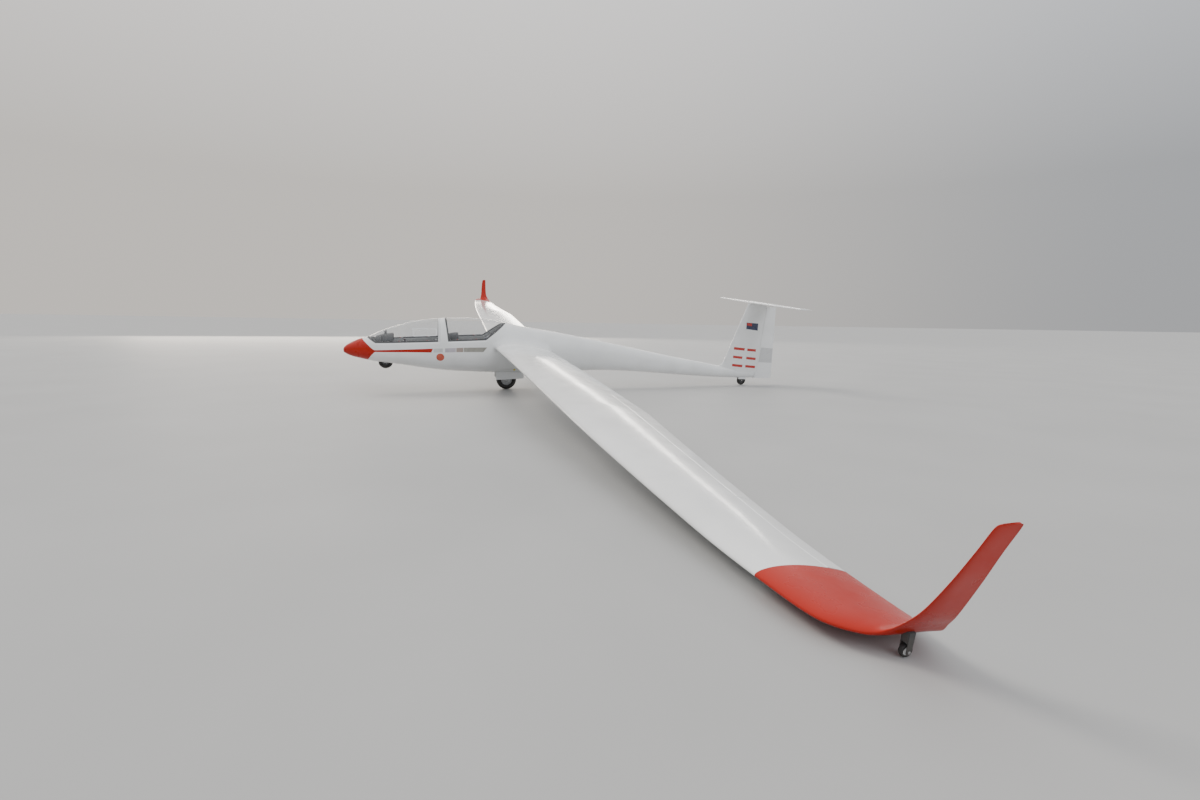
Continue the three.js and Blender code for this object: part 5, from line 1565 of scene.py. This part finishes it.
def pad(place, part):
    """One cushion: filled form, pressed crown, sewn channels, and piping along its seam."""
    start, end, w0, w1, thick, channels = CUSHIONS[place][part]
    start, end = np.array(start, float), np.array(end, float)
    way = unit(end - start)
    up = np.array([-way[1], way[0]])
    length = float(np.linalg.norm(end - start))

    def laid(local):
        flat = start + way * local[:, 1:2] + up * local[:, 2:3]
        return np.column_stack([local[:, 0], flat])

    form = Skin()
    form.body(pad_rings(length, w0, w1, thick))
    name = f"cushion_{place}_{part}"
    points, faces = simulated(f"{name}_form", form.points[0], form.faces, PAD_REACH)
    x, s, h = points.T
    h = pressed(np.maximum(h, 0.4), thick)
    h = sewn(x, s, h, length, w0, thick, channels, part == "back", len(place))
    obj = piece(name, laid(np.column_stack([x, s, h])), faces, CLOTH, "airframe", replaces=(f"cushion_{place}",),
                slot="cushion_cloth", sharp=80)
    fine = obj.modifiers.new("fine", "SUBSURF")
    fine.levels = fine.render_levels = 1
    apply(obj)
    obj.data.shade_smooth()
    path = laid(seam_ring(x, s, h, length, w0, thick * PIPING["level"]))[:-1]
    along = unit(np.roll(path, -1, axis=0) - np.roll(path, 1, axis=0))
    normal = np.array([0, *up])
    turn = np.linspace(0, 2 * math.pi, 8, endpoint=False)[:, None]
    rows = [p + PIPING["radius"] * (np.cos(turn) * np.cross(a, normal) + np.sin(turn) * normal)
            for p, a in zip(path, along)]
    skin = Skin()
    skin.grid(rows + rows[:1], closed=True)
    skin.piece(f"{name}_piping", CLOTH, "airframe", sharp=80)
    return obj

# Straps of the harness: half width, thickness, and the height of their metal over the middle line
STRAP = dict(half=22, thick=1.6, metal=4.2)


def harness(place, pads):
    """Four straps laid on the seat and its cushions, with a buckle."""
    line, normal = seat_profile(place, 240)
    reach = lengths(line)
    trees = []
    for obj in pads:
        spots = (np.array([v.co for v in obj.data.vertices]) - SHIFT) @ TURN * 1000
        trees.append(BVHTree.FromPolygons([tuple(p) for p in spots], [tuple(p.vertices) for p in obj.data.polygons]))

    def frame_at(s):
        y, z = np.interp(s, reach, line[:, 0]), np.interp(s, reach, line[:, 1])
        n = unit([np.interp(s, reach, normal[:, 0]), np.interp(s, reach, normal[:, 1])])
        return np.array([0, y, z]), np.array([0, *n])

    def height(s, x):
        p, n = frame_at(s)
        start = p + np.array([x, 0, 0]) + n * 150
        best = 0.0
        for tree in trees:
            hit = tree.ray_cast(Vector(start), Vector(-n), 149)
            if hit[0] is not None:
                best = max(best, 150 - hit[3])
        return best

    def strap(skin, stops):
        """Strap over the stops, which are distances along the seat with the x of the middle line."""
        half, thick = STRAP["half"], STRAP["thick"]
        path = curve(stops, 9)
        top = [max(height(s, x + half * share) for share in (-0.8, 0, 0.8)) for s, x in path]
        grown = np.array([max(top[max(0, k - 2):k + 3]) for k in range(len(top))])
        top = np.convolve(np.pad(grown, 2, mode="edge"), np.ones(5) / 5, "valid") + 1.0
        middle = np.array([frame_at(s)[0] + np.array([x, 0, 0]) + frame_at(s)[1] * h
                           for (s, x), h in zip(path, top)])
        normals = np.array([frame_at(s)[1] for s, _ in path])
        along = unit(np.gradient(middle, axis=0))
        side = unit(np.cross(along, normals))
        out = unit(np.cross(side, along))
        section = ((-1, 0), (-0.97, thick), (-0.5, thick + 0.5), (0, thick + 0.6), (0.5, thick + 0.5),
                   (0.97, thick), (1, 0), (0, 0))
        skin.body([[p + a * half * u + b * v for u, v in section] for p, a, b in zip(middle, side, out)])
        return middle, side, out

    def fitting(laid, k, half, aside=0):
        """Metal bar on a strap, at a point of its path."""
        middle, across, out = (part[k] for part in laid)
        turn = np.column_stack([across, unit(np.cross(out, across)), out])
        brick(metal, middle + out * STRAP["metal"] + across * aside, half, 0, turn)

    whole = reach[-1]
    lap = 0.3 * whole
    skin, metal = Skin(), Skin()
    for side in (1, -1):
        laid = strap(skin, [(whole - 4, side * 92), (whole * 0.86, side * 84), (whole * 0.68, side * 66),
                            (whole * 0.5, side * 44), (lap + 46, side * 26)])
        k = len(laid[0]) // 3
        fitting(laid, k, [25, 4, 1.6])
        fitting(laid, k + 2, [25, 4, 1.6])
        for aside in (24, -24):
            fitting(laid, k + 1, [2, 17, 1.6], aside)
        laid = strap(skin, [(whole * 0.4, side * 204), (whole * 0.37, side * 150), (lap + 12, side * 90),
                            (lap + 2, side * 34)])
        fitting(laid, len(laid[0]) // 2, [25, 13, 1.8])
    skin.piece(f"harness_{place}", WEBBING, "airframe", sharp=60)
    p, n = frame_at(lap)
    top = max(height(lap + d, x) for d in (-26, 0, 26) for x in (-26, 0, 26)) + 2.5
    buckle = [[0.2, 0], [31, 0], [34, 3], [34, 12], [31, 15.5], [20, 17], [19, 20], [10, 21], [0.2, 21]]
    turned(metal, buckle, p + n * top, n, 44)
    for half in ([23, 5, 2.6], [5, 23, 2.6]):
        brick(metal, p + n * (top + 23), half, 1, np.column_stack([[1, 0, 0], np.cross(n, [1, 0, 0]), n]))
    metal.piece(f"harness_metal_{place}", [STEEL, KNOBS["red"]], "airframe", sharp=35)


HOOD_POWER, COVER_POWER = 3.2, 3.0
HOOD_WALL = 9


def hood_ring(y, top, low, half, power, room=CANOPY_ROOM):
    """Section of a panel's hood, from its port foot over the top."""
    t = np.sin(np.linspace(0, math.pi / 2, 17))
    z = low + (top - low) * t
    wall = np.nan_to_num(side_x(np.full(len(z), float(y)), z) - room, nan=0)
    x = np.maximum(np.minimum(half, wall) * (1 - t ** power) ** (1 / power), 0)
    ring = np.column_stack([x, np.full(len(x), y), np.minimum(z, top)])
    return np.concatenate([ring, ring[::-1][1:] * [-1, 1, 1]])


def hood(stations, board, low_inside):
    """Hood with its open face aft, and the board in it."""
    y, top, low, half = stations[-1]
    rings = [hood_ring(*s, HOOD_POWER) for s in stations]
    rings.append(hood_ring(y + 2, top - 3, low + 1.5, half - 3, HOOD_POWER))
    for at in (y, board + 2):
        rings.append(hood_ring(at, top - HOOD_WALL, low_inside, half - HOOD_WALL, HOOD_POWER, CANOPY_ROOM + HOOD_WALL))
    skin = Skin()
    skin.body(rings, last_slot=1)
    return skin


# Fittings of the panels face aft. Slots of their pieces: body, face, mark, steel, knob
AFT = (0, 1, 0)
DIAL_MATERIALS = [PANEL_BLACK, DIAL_BLACK, DIAL_WHITE, STEEL, KNOBS["yellow"]]


def hand(skin, at, angle, reach, half):
    """White bar on a dial, at an angle from the top."""
    d = np.array([math.sin(angle), 0, math.cos(angle)])
    brick(skin, at + d * reach, half, 2, np.column_stack([[d[2], 0, -d[0]], [0, 1, 0], d]))


def dial(skin, x, y, z, radius, needle):
    """Round instrument with bezel, face, marks and needle, and the four screws round it."""
    at = np.array([x, y, z], float)
    bezel = [[0.2, -12], [radius, -12], [radius, 1.5], [radius * 0.97, 3.4], [radius * 0.88, 3.8],
             [radius * 0.85, 2.6], [radius * 0.84, 0.9], [0.2, 0.9]]
    turned(skin, bezel, at, AFT, 44, 0)
    turned(skin, [[0.2, 0.8], [radius * 0.83, 0.8], [radius * 0.83, 1.3], [0.2, 1.3]], at, AFT, 44, 1)
    for k in range(12):
        long, wide = (0.09, 0.016) if k % 3 else (0.16, 0.024)
        hand(skin, at + [0, 1.5, 0], 2 * math.pi * k / 12, radius * (0.76 - long / 2),
             [radius * wide, 0.25, radius * long / 2])
    hand(skin, at + [0, 2.2, 0], needle, radius * 0.24, [radius * 0.026, 0.3, radius * 0.36])
    turned(skin, [[0.2, 1.2], [radius * 0.1, 1.2], [radius * 0.1, 2.9], [0.2, 2.9]], at, AFT, 16, 0)
    for k in range(4):
        a = math.pi / 4 + k * math.pi / 2
        spot = at + [1.16 * radius * math.cos(a), 0, 1.16 * radius * math.sin(a)]
        turned(skin, [[0.2, 0], [2.6, 0], [2.6, 1.6], [1.8, 2.2], [0.2, 2.2]], spot, AFT, 10, 3)


def switch(skin, x, y, z):
    turned(skin, [[0.2, 0], [3, 0], [2.2, 10], [2.6, 13], [0.2, 14]], [x, y, z], (0, 1, 0.3), 12, 3)
    turned(skin, [[2.8, -1], [5, -1], [5, 1.8], [2.8, 1.8]], [x, y, z], AFT, 12, 3)


def release_knob(skin, y, z):
    """Knob of the tow release, on its rod."""
    turned(skin, [[0.2, 0], [4, 0], [4, 18], [12, 21], [14, 27], [12, 34], [6, 37], [0.2, 37.5]], [0, y, z],
           (0, 1, -0.15), 28, 4)


def panel_cover(place, stations):
    """Cover ahead of a panel."""
    loft(f"panel_cover_{place}", [hood_ring(*s, COVER_POWER) for s in stations], PANEL_BLACK, "airframe", sharp=40)


def panel_front():
    # Stations of the hood and of the cover: y, top, foot, half width
    skin = hood([(640, 290, 205, 60), (643, 297, 203, 110), (652, 303, 201, 150), (675, 310, 197, 172),
                 (700, 315, 194, 178), (745, 322, 186, 180), (790, 328, 178, 180), (825, 331, 179, 180),
                 (844, 329, 180, 180)], 800, 190)
    for side in (1, -1):
        brick(skin, [side * 52, 730, 66], [4, 26, 112])
    for y in (704, 756):
        brick(skin, [0, y, 66], [56, 3, 112])
    skin.piece("panel_hood_front", [PANEL_BLACK, BOARD], "airframe", replaces=("instrument_panel_front",),
               slot="panel_black", sharp=40)
    skin = Skin()
    face = 802
    for x, z, r, needle in ((-96, 270, 34, 2.4), (0, 278, 38, -0.7), (96, 270, 34, 0.9), (-132, 213, 20, -1.9),
                            (-84, 213, 20, 1.5), (132, 213, 20, 0.3)):
        dial(skin, x, face, z, r, needle)
    # Radio with its window, knobs and keys
    brick(skin, [30, face + 1, 214], [32, 6, 22], 0)
    brick(skin, [30, face + 7.6, 224], [26, 0.6, 8], 1)
    for x in (10, 50):
        turned(skin, [[0.2, 0], [8, 0], [8, 9], [6.5, 11], [0.2, 11]], [x, face + 7, 204], AFT, 20, 0)
    for x in (22, 30, 38):
        brick(skin, [x, face + 8, 204], [2.6, 1.6, 2.6], 2)
    for x in (72, 84, 96):
        switch(skin, x, face, 200)
    release_knob(skin, 790, 186)
    skin.piece("panel_dials_front", DIAL_MATERIALS, "airframe", sharp=35)
    panel_cover("front", ((546, 262, 176, 120), (549, 270, 175, 150), (557, 276, 174, 164), (590, 286, 172, 170),
                          (620, 294, 170, 172), (640.5, 300, 170, 168)))


def compass():
    """Compass on the front panel's hood, with its foot."""
    skin = Skin()
    foot = [[0.2, -8], [24, -8], [24, 2], [20, 8], [14, 12], [12, 22], [0.2, 22]]
    case = [[0.2, -27], [20, -27], [25, -23], [27, -16], [27, 16], [25.5, 19], [23, 19], [22.4, 15], [0.2, 15]]
    glass = [[0.2, 14.6], [22.2, 14.6], [22.2, 15.8], [0.2, 17.4]]
    turned(skin, foot, [0, 714, 322], (0, 0, 1), 32, 0)
    turned(skin, case, [0, 714, 359], AFT, 40, 0)
    turned(skin, glass, [0, 714, 359], AFT, 40, 1)
    brick(skin, [0, 731, 359], [0.8, 1.2, 15], 2)
    skin.piece("compass", [PANEL_BLACK, DIAL_BLACK, DIAL_WHITE], "airframe", sharp=40)


def panel_rear():
    # Stations of the hood and of the cover: y, top, foot, half width
    skin = hood([(1850, 366, 232, 158), (1853, 370, 232, 164), (1862, 373, 232, 167), (1880, 376, 232, 169),
                 (1900, 380, 232, 170), (1945, 385, 232, 170), (1988, 386, 232, 170)], 1958, 242)
    panel_cover("rear", ((1796, 334, 236, 110), (1799, 350, 235, 140), (1808, 361, 234, 154),
                         (1826, 366, 233, 160), (1850.5, 368, 232, 160)))
    low, high = -196, 240
    middle, half = (high + low) / 2, (high - low) / 2
    for side in (1, -1):
        brick(skin, [side * 46, 1907.5, middle], [4, 27, half])
    for y in (1883, 1932):
        brick(skin, [0, y, middle], [50, 3, half])
    skin.piece("panel_hood_rear", [PANEL_BLACK, BOARD], "airframe", replaces=("instrument_panel_rear",),
               slot="panel_black", sharp=40)
    skin = Skin()
    face = 1960
    for x, z, r, needle in ((-108, 318, 36, 2.1), (0, 320, 40, -0.4), (108, 318, 36, 0.7)):
        dial(skin, x, face, z, r, needle)
    for x in (-60, -48, 48, 60):
        switch(skin, x, face, 262)
    release_knob(skin, 1950, 262)
    skin.piece("panel_dials_rear", DIAL_MATERIALS, "airframe", sharp=35)


def stick(place, y):
    low = -183
    skin = Skin()
    outline = rounded([[-46, -46], [46, -46], [46, 46], [-46, 46]], 10, 4)
    rings = []
    for z, share in ((-196, 1), (low, 1), (low + 2, 0.96), (low + 4, 0.8)):
        rings.append(np.column_stack([outline[:, 0] * share, y + outline[:, 1] * share, np.full(len(outline), z)]))
    skin.body(rings, 2)
    bellows = [[13, low + 3]]
    for k in range(6):
        r = 40 - 4.2 * k
        bellows += [[r, low + 3 + 12 * k], [r + 2.5, low + 7 + 12 * k], [r - 6, low + 12 + 12 * k]]
    bellows += [[13, low + 78]]
    turned(skin, bellows, np.array([0, y, 0]), (0, 0, 1), 40, 1)
    tube(skin, [[0, y, z] for z in (low + 4, -60, 60, 132)], [12.5, 12.3, 12, 11.6], 24, 0)
    way = unit([0, -math.sin(0.1), math.cos(0.1)])
    at = np.array([0, y - 4, 175.0])
    profile = [[0.2, -58], [13, -58], [15.5, -55], [16, -50]]
    for k in range(4):
        z = -40 + 20 * k
        profile += [[17.2, z - 5], [15.2, z + 2], [17.2, z + 9]]
    profile += [[17, 42], [18.5, 47], [17.5, 54], [12, 58], [0.2, 59]]
    turned(skin, profile, at, way, 36, 1)
    turned(skin, [[0.2, 0], [5, 0], [5, 4], [3.5, 6], [0.2, 6.4]], at + way * 57, way, 20, 3)
    skin.piece(f"stick_{place}_parts", [STEEL, GRIP, SHELL, KNOBS["red"]], "airframe", replaces=(f"stick_{place}",),
               slot="panel_black", sharp=40)


# Rear headrest: middle (y, z), half thickness, half height, and its rings (x, growth)
HEADREST = dict(y=2600, z=376, deep=21, high=34, lean=0.42)
HEADREST_RINGS = ((-62, 0.5), (-58, 0.86), (-46, 1), (0, 1.03), (46, 1), (58, 0.86), (62, 0.5))


def headrest():
    a, b = squarish(np.linspace(0, 2 * math.pi, 40, endpoint=False), 0.6)
    deep, high = HEADREST["deep"] * a, HEADREST["high"] * b
    rings = []
    for x, grow in HEADREST_RINGS:
        y = HEADREST["y"] + deep * grow + high * grow * HEADREST["lean"]
        rings.append(np.column_stack([np.full(len(a), float(x)), y, HEADREST["z"] + high * grow]))
    loft("headrest_rear", rings, GRIP, "airframe", sharp=60)
    skin = Skin()
    for x in (-30, 30):
        tube(skin, [[x, 2604, 370], [x, 2680, 366], [x, 2772, 362]], 5, 12)
    skin.piece("headrest_posts", STEEL, "airframe")


# Sliding window in side view, and the stations of the canopies' locks
WINDOW = [[1180, 462], [1194, 322], [1598, 350], [1604, 470]]
LOCKS = {"front": (980, 1460), "rear": (1990, 2330)}


def window():
    path = refined(rounded(WINDOW, [26, 18, 22, 22], 7), 22)
    inner = inset(path, 9)
    rings = [skin_film(shape[:, 0], shape[:, 1], grow)
             for shape, grow in ((path, 0.2), (path, 2.6), (inner, 2.6), (inner, 0.2))]
    skin = Skin()
    skin.grid(rings + rings[:1], closed=True)
    skin.piece("window_frame", RAIL, "canopy_front", sharp=40)
    middle = path.mean(0)
    pane = [middle + (inset(path, 2) - middle) * s for s in (0.04, 0.35, 0.68, 1)]
    rings = [skin_film(r[:, 0], r[:, 1], 1.6) for r in pane] + [skin_film(r[:, 0], r[:, 1], 0.3) for r in pane[::-1]]
    loft("window_pane", rings, ACRYLIC, "canopy_front", sharp=60)


def canopy_locks(place):
    """Levers with a knob inside a canopy's frame."""
    knob = [[0.2, -9], [5, -9], [8, -5], [8.5, 2], [6, 8], [0.2, 9]]
    skin = Skin()
    for side in (1, -1):
        for y in LOCKS[place]:
            z = float(np.interp(y, *np.array(OUTLINES[place][2:4]).T)) + 17
            x = float(side_x(y, z)) - SKIN - 1
            brick(skin, [side * (x - 3), y, z], [4, 26, 6], 0)
            path = [[side * (x - 6), y + 14, z], [side * (x - 16), y + 10, z + 3], [side * (x - 20), y - 22, z + 6]]
            tube(skin, path, 3.4, 10, 0)
            turned(skin, knob, [side * (x - 20), y - 26, z + 6], (0, -1, 0.2), 20, 1)
    skin.piece(f"canopy_locks_{place}", [STEEL, KNOBS["red"]], f"canopy_{place}", sharp=40)


# Everything, body by body
fuselage()
for place in ("front", "rear"):
    canopy(place)
nose_cap()
for block in BAND_BLOCKS:
    band_block(*block)
for name, side in (("port", 1), ("starboard", -1)):
    disc_on_skin(f"badge_disc_{name}", DISC_RED, DISC, FILM, side)
# Yellow domed disc on the port belly, behind the main wheel
disc_on_skin("belly_yellow_disc", YELLOW, BELLY_DISC, 2, 1, 5)
fin_mark("fin_bars", MARKING_RED, FIN_BARS, FILM)
fin_mark("fin_field", NAVY, [FIN_FIELD], FILM)
fin_mark("fin_corner", MARKING_RED, [FIN_CORNER], FILM * 2)
# Pale grey film across the middle of the rudder, darker than the white above and below it
fin_mark("rudder_band", PALE_GREY, [RUDDER_BAND], FILM * 1.3, "rudder")
bulkheads()
cockpit_floor()
consoles()
for place, y, high in (("front", 1010, 112), ("rear", 2080, 170)):
    levers(place, y, high)
pedals()
for place, y in (("front", 1050), ("rear", 2035)):
    seat(place)
    harness(place, [pad(place, part) for part in ("pan", "back")])
    stick(place, y)
panel_front()
compass()
panel_rear()
headrest()
window()
for place in ("front", "rear"):
    canopy_locks(place)
wheel("main", MAIN, (-0.42, -0.16, 0.16, 0.42), 6)
wheel("nose", NOSE, (-0.3, 0, 0.3), 5)
wheel("tail", TAIL, (-0.25, 0.25), 4)
well("main_well", WELL_MAIN, -130)
main_gear()
nose_gear()
tail_gear()
fairing = fairing_rings()
wing_skin = wing()
cap_skin = brake_cap()
tips = tip_rings()
for name, side in (("port", 1), ("starboard", -1)):
    turn = (lambda p: np.asarray(p, float)) if side > 0 else mirrored
    tip_gear(name, side)
    wing_skin.piece(f"wing_skin_{name}", [WHITE, WELL, COVE_SHADE], "airframe", turn(np.concatenate(wing_skin.points)),
                    replaces=(f"wing_{name}",), slot="white_gelcoat")
    loft(f"wing_fairing_{name}", [turn(r) for r in fairing], WHITE, "airframe", slot="white_gelcoat", sharp=50)
    cap_skin.piece(f"airbrake_cap_{name}", [WHITE], f"airbrake_{name}", turn(np.concatenate(cap_skin.points)),
                   replaces=(f"airbrake_{name}",), slot="white_gelcoat")
    loft(f"winglet_{name}", [turn(r) for r in tips], RED, "airframe", replaces=(f"wingtip_{name}",),
         slot="red_gelcoat", sharp=50)
    for where, (x0, x1) in AILERON_SPANS.items():
        rings = [turn(flap_ring(wing_section(x), float(aileron_share(x)))) for x in np.linspace(x0, x1, 16)]
        loft(f"aileron_skin_{name}_{where}", rings, WHITE, f"aileron_{name}_{where}",
             replaces=(f"aileron_{name}_{where}",), slot="white_gelcoat")
# The coves take painted shade only where the rudder and the elevator stand before them
loft("fin_skin", fin_rings(), [WHITE, COVE_SHADE], "airframe", replaces=("fin",), slot="white_gelcoat",
     slots=lambda i, j: int(j in COVE_FACES and i >= 8))
rings = [flap_ring(fin_section(z), rudder_share(z)) for z in np.linspace(RUDDER["low"], RUDDER["high"], 24)]
loft("rudder_skin", rings, WHITE, "rudder", replaces=("rudder",), slot="white_gelcoat")
loft("tailplane_skin", tail_rings(), [WHITE, COVE_SHADE], "airframe", replaces=("tailplane",), slot="white_gelcoat",
     slots=lambda i, j: int(j in COVE_FACES and 5 <= i <= 34))
rings = [flap_ring(tail_section(x), elevator_share(x))
         for x in np.linspace(-ELEVATOR["half"], ELEVATOR["half"], 25)]
loft("elevator_skin", rings, WHITE, "elevator", replaces=("elevator",), slot="white_gelcoat")


def pose_matrix(axes, place):
    """Matrix of an object from the columns of its axes and its place."""
    return Matrix([[*axes[i], place[i]] for i in range(3)] + [[0, 0, 0, 1]])


# Camera, floor and lights
CAMERA = dict(at=(11087.3, 1425.2, 1779.4), ahead=(-0.93060822, 0.28880829, -0.22485132),
              right=(0.27942937, 0.95737236, 0.07319415), up=(-0.23640552, -0.00528502, 0.97164011),
              focal_px=575.85, width_px=1200, sensor=36)
camera_data = bpy.data.cameras.new("camera")
camera_data.sensor_width = CAMERA["sensor"]
camera_data.lens = CAMERA["focal_px"] / CAMERA["width_px"] * CAMERA["sensor"]
camera_data.clip_end = 500
camera = bpy.data.objects.new("camera", camera_data)
axes = TURN @ np.column_stack([CAMERA["right"], CAMERA["up"], -np.array(CAMERA["ahead"])])
camera.matrix_world = pose_matrix(axes, placed(CAMERA["at"])[0])
bpy.context.scene.collection.objects.link(camera)
bpy.context.scene.camera = camera

floor_mesh = bpy.data.meshes.new("floor")
FLOOR_HALF = 900
floor_corners = [(-FLOOR_HALF, -FLOOR_HALF, 0), (FLOOR_HALF, -FLOOR_HALF, 0), (FLOOR_HALF, FLOOR_HALF, 0),
                 (-FLOOR_HALF, FLOOR_HALF, 0)]
floor_mesh.from_pydata(floor_corners, [], [(0, 1, 2, 3)])
floor = bpy.data.objects.new("floor", floor_mesh)
floor_paint = material("floor_paint", (0.4, 0.4, 0.396), 0.6)
vary(floor_paint, "Base Color", noise(floor_paint, 0.6, 6), (0.385, 0.385, 0.381), (0.415, 0.415, 0.411))
floor_mesh.materials.append(floor_paint)
bpy.context.scene.collection.objects.link(floor)

# Pale sky, brightest overhead, with a glow at the horizon under the key
KEY_SIDE = (0.97, 0.22, 0.09)
# Colours of the sky by height, in the order in which the ramp takes them
SKY = ((0.0, (0.35, 0.355, 0.365)), (1.0, (0.98, 0.99, 1)), (0.2, (0.36, 0.37, 0.385)), (0.55, (0.72, 0.74, 0.78)))
GLOW = (0.24, 0.2, 0.15, 1)
SKY_STRENGTH = 1.25
world = bpy.data.worlds.new("studio")
world.use_nodes = True
nodes, links = world.node_tree.nodes, world.node_tree.links
direction = nodes.new("ShaderNodeTexCoord")
height = nodes.new("ShaderNodeSeparateXYZ")
links.new(direction.outputs["Generated"], height.inputs["Vector"])
sky = nodes.new("ShaderNodeValToRGB")
ramp = sky.color_ramp.elements
for stop, (place, color) in zip([ramp[0], ramp[1], ramp.new(0.2), ramp.new(0.55)], SKY):
    stop.position = place
    stop.color = (*color, 1)
links.new(height.outputs["Z"], sky.inputs["Fac"])
facing = nodes.new("ShaderNodeVectorMath")
facing.operation = "DOT_PRODUCT"
facing.inputs[1].default_value = Vector(KEY_SIDE).normalized()
links.new(direction.outputs["Generated"], facing.inputs[0])
glow = nodes.new("ShaderNodeMapRange")
for key, value in (("From Min", 0.25), ("From Max", 1.0), ("To Min", 0.0), ("To Max", 1.0)):
    glow.inputs[key].default_value = value
glow.interpolation_type = "SMOOTHSTEP"
links.new(facing.outputs["Value"], glow.inputs["Value"])
mixed = nodes.new("ShaderNodeMix")
mixed.data_type = "RGBA"
mixed.blend_type = "ADD"
links.new(glow.outputs["Result"], mixed.inputs["Factor"])
links.new(sky.outputs["Color"], mixed.inputs["A"])
mixed.inputs["B"].default_value = GLOW
links.new(mixed.outputs["Result"], nodes["Background"].inputs["Color"])
nodes["Background"].inputs["Strength"].default_value = SKY_STRENGTH
bpy.context.scene.world = world


def aimed(obj, at, target):
    obj.location = at
    obj.rotation_euler = (Vector(target) - Vector(at)).to_track_quat("-Z", "Y").to_euler()
    bpy.context.scene.collection.objects.link(obj)
    return obj


def lamp(name, at, target, size, power, color=(1, 1, 1)):
    data = bpy.data.lights.new(name, "AREA")
    data.shape = "RECTANGLE"
    data.size, data.size_y = size
    data.energy = power
    data.color = color
    aimed(bpy.data.objects.new(name, data), at, target)


def sun(name, at, strength, spread, color=(1, 1, 1)):
    data = bpy.data.lights.new(name, "SUN")
    data.energy = strength
    data.angle = math.radians(spread)
    data.color = color
    aimed(bpy.data.objects.new(name, data), at, (0, 0, 0)).visible_glossy = False


# Key from behind on the nose side, as the sun stands in the photograph, with a low wide panel for the
# highlight along the wing, and a soft fill from the camera's side
sun("key", (10, 9, 12), 1.9, 24, (1, 0.95, 0.88))
sun("fill", (-12, -5, 9), 0.9, 40, (0.92, 0.96, 1))
lamp("low_panel", (34, 6, 4), (0, 1, 0.5), (30, 5), 3600, (1, 0.9, 0.78))

# Long panel whose reflection runs along the middle of the port wing: its ends in the aircraft frame
RIDGE = np.array([[-38.8, 9.0, 2.4], [-27.4, 28.8, 10.6]]) * 1000
RIDGE_TARGET = [5500, 3200, 300]
ends = placed(RIDGE)
middle, along = ends.mean(0), unit(ends[1] - ends[0])
over = unit(np.cross(unit(middle - placed(RIDGE_TARGET)[0]), along))
ridge = bpy.data.lights.new("ridge_panel", "AREA")
ridge.shape = "RECTANGLE"
ridge.size, ridge.size_y = float(np.linalg.norm(ends[1] - ends[0])) * 1.2, 1.7
ridge.energy = 1150
ridge.color = (1, 0.95, 0.88)
panel = bpy.data.objects.new("ridge_panel", ridge)
panel.matrix_world = pose_matrix(np.column_stack([along, over, np.cross(along, over)]), middle)
bpy.context.scene.collection.objects.link(panel)
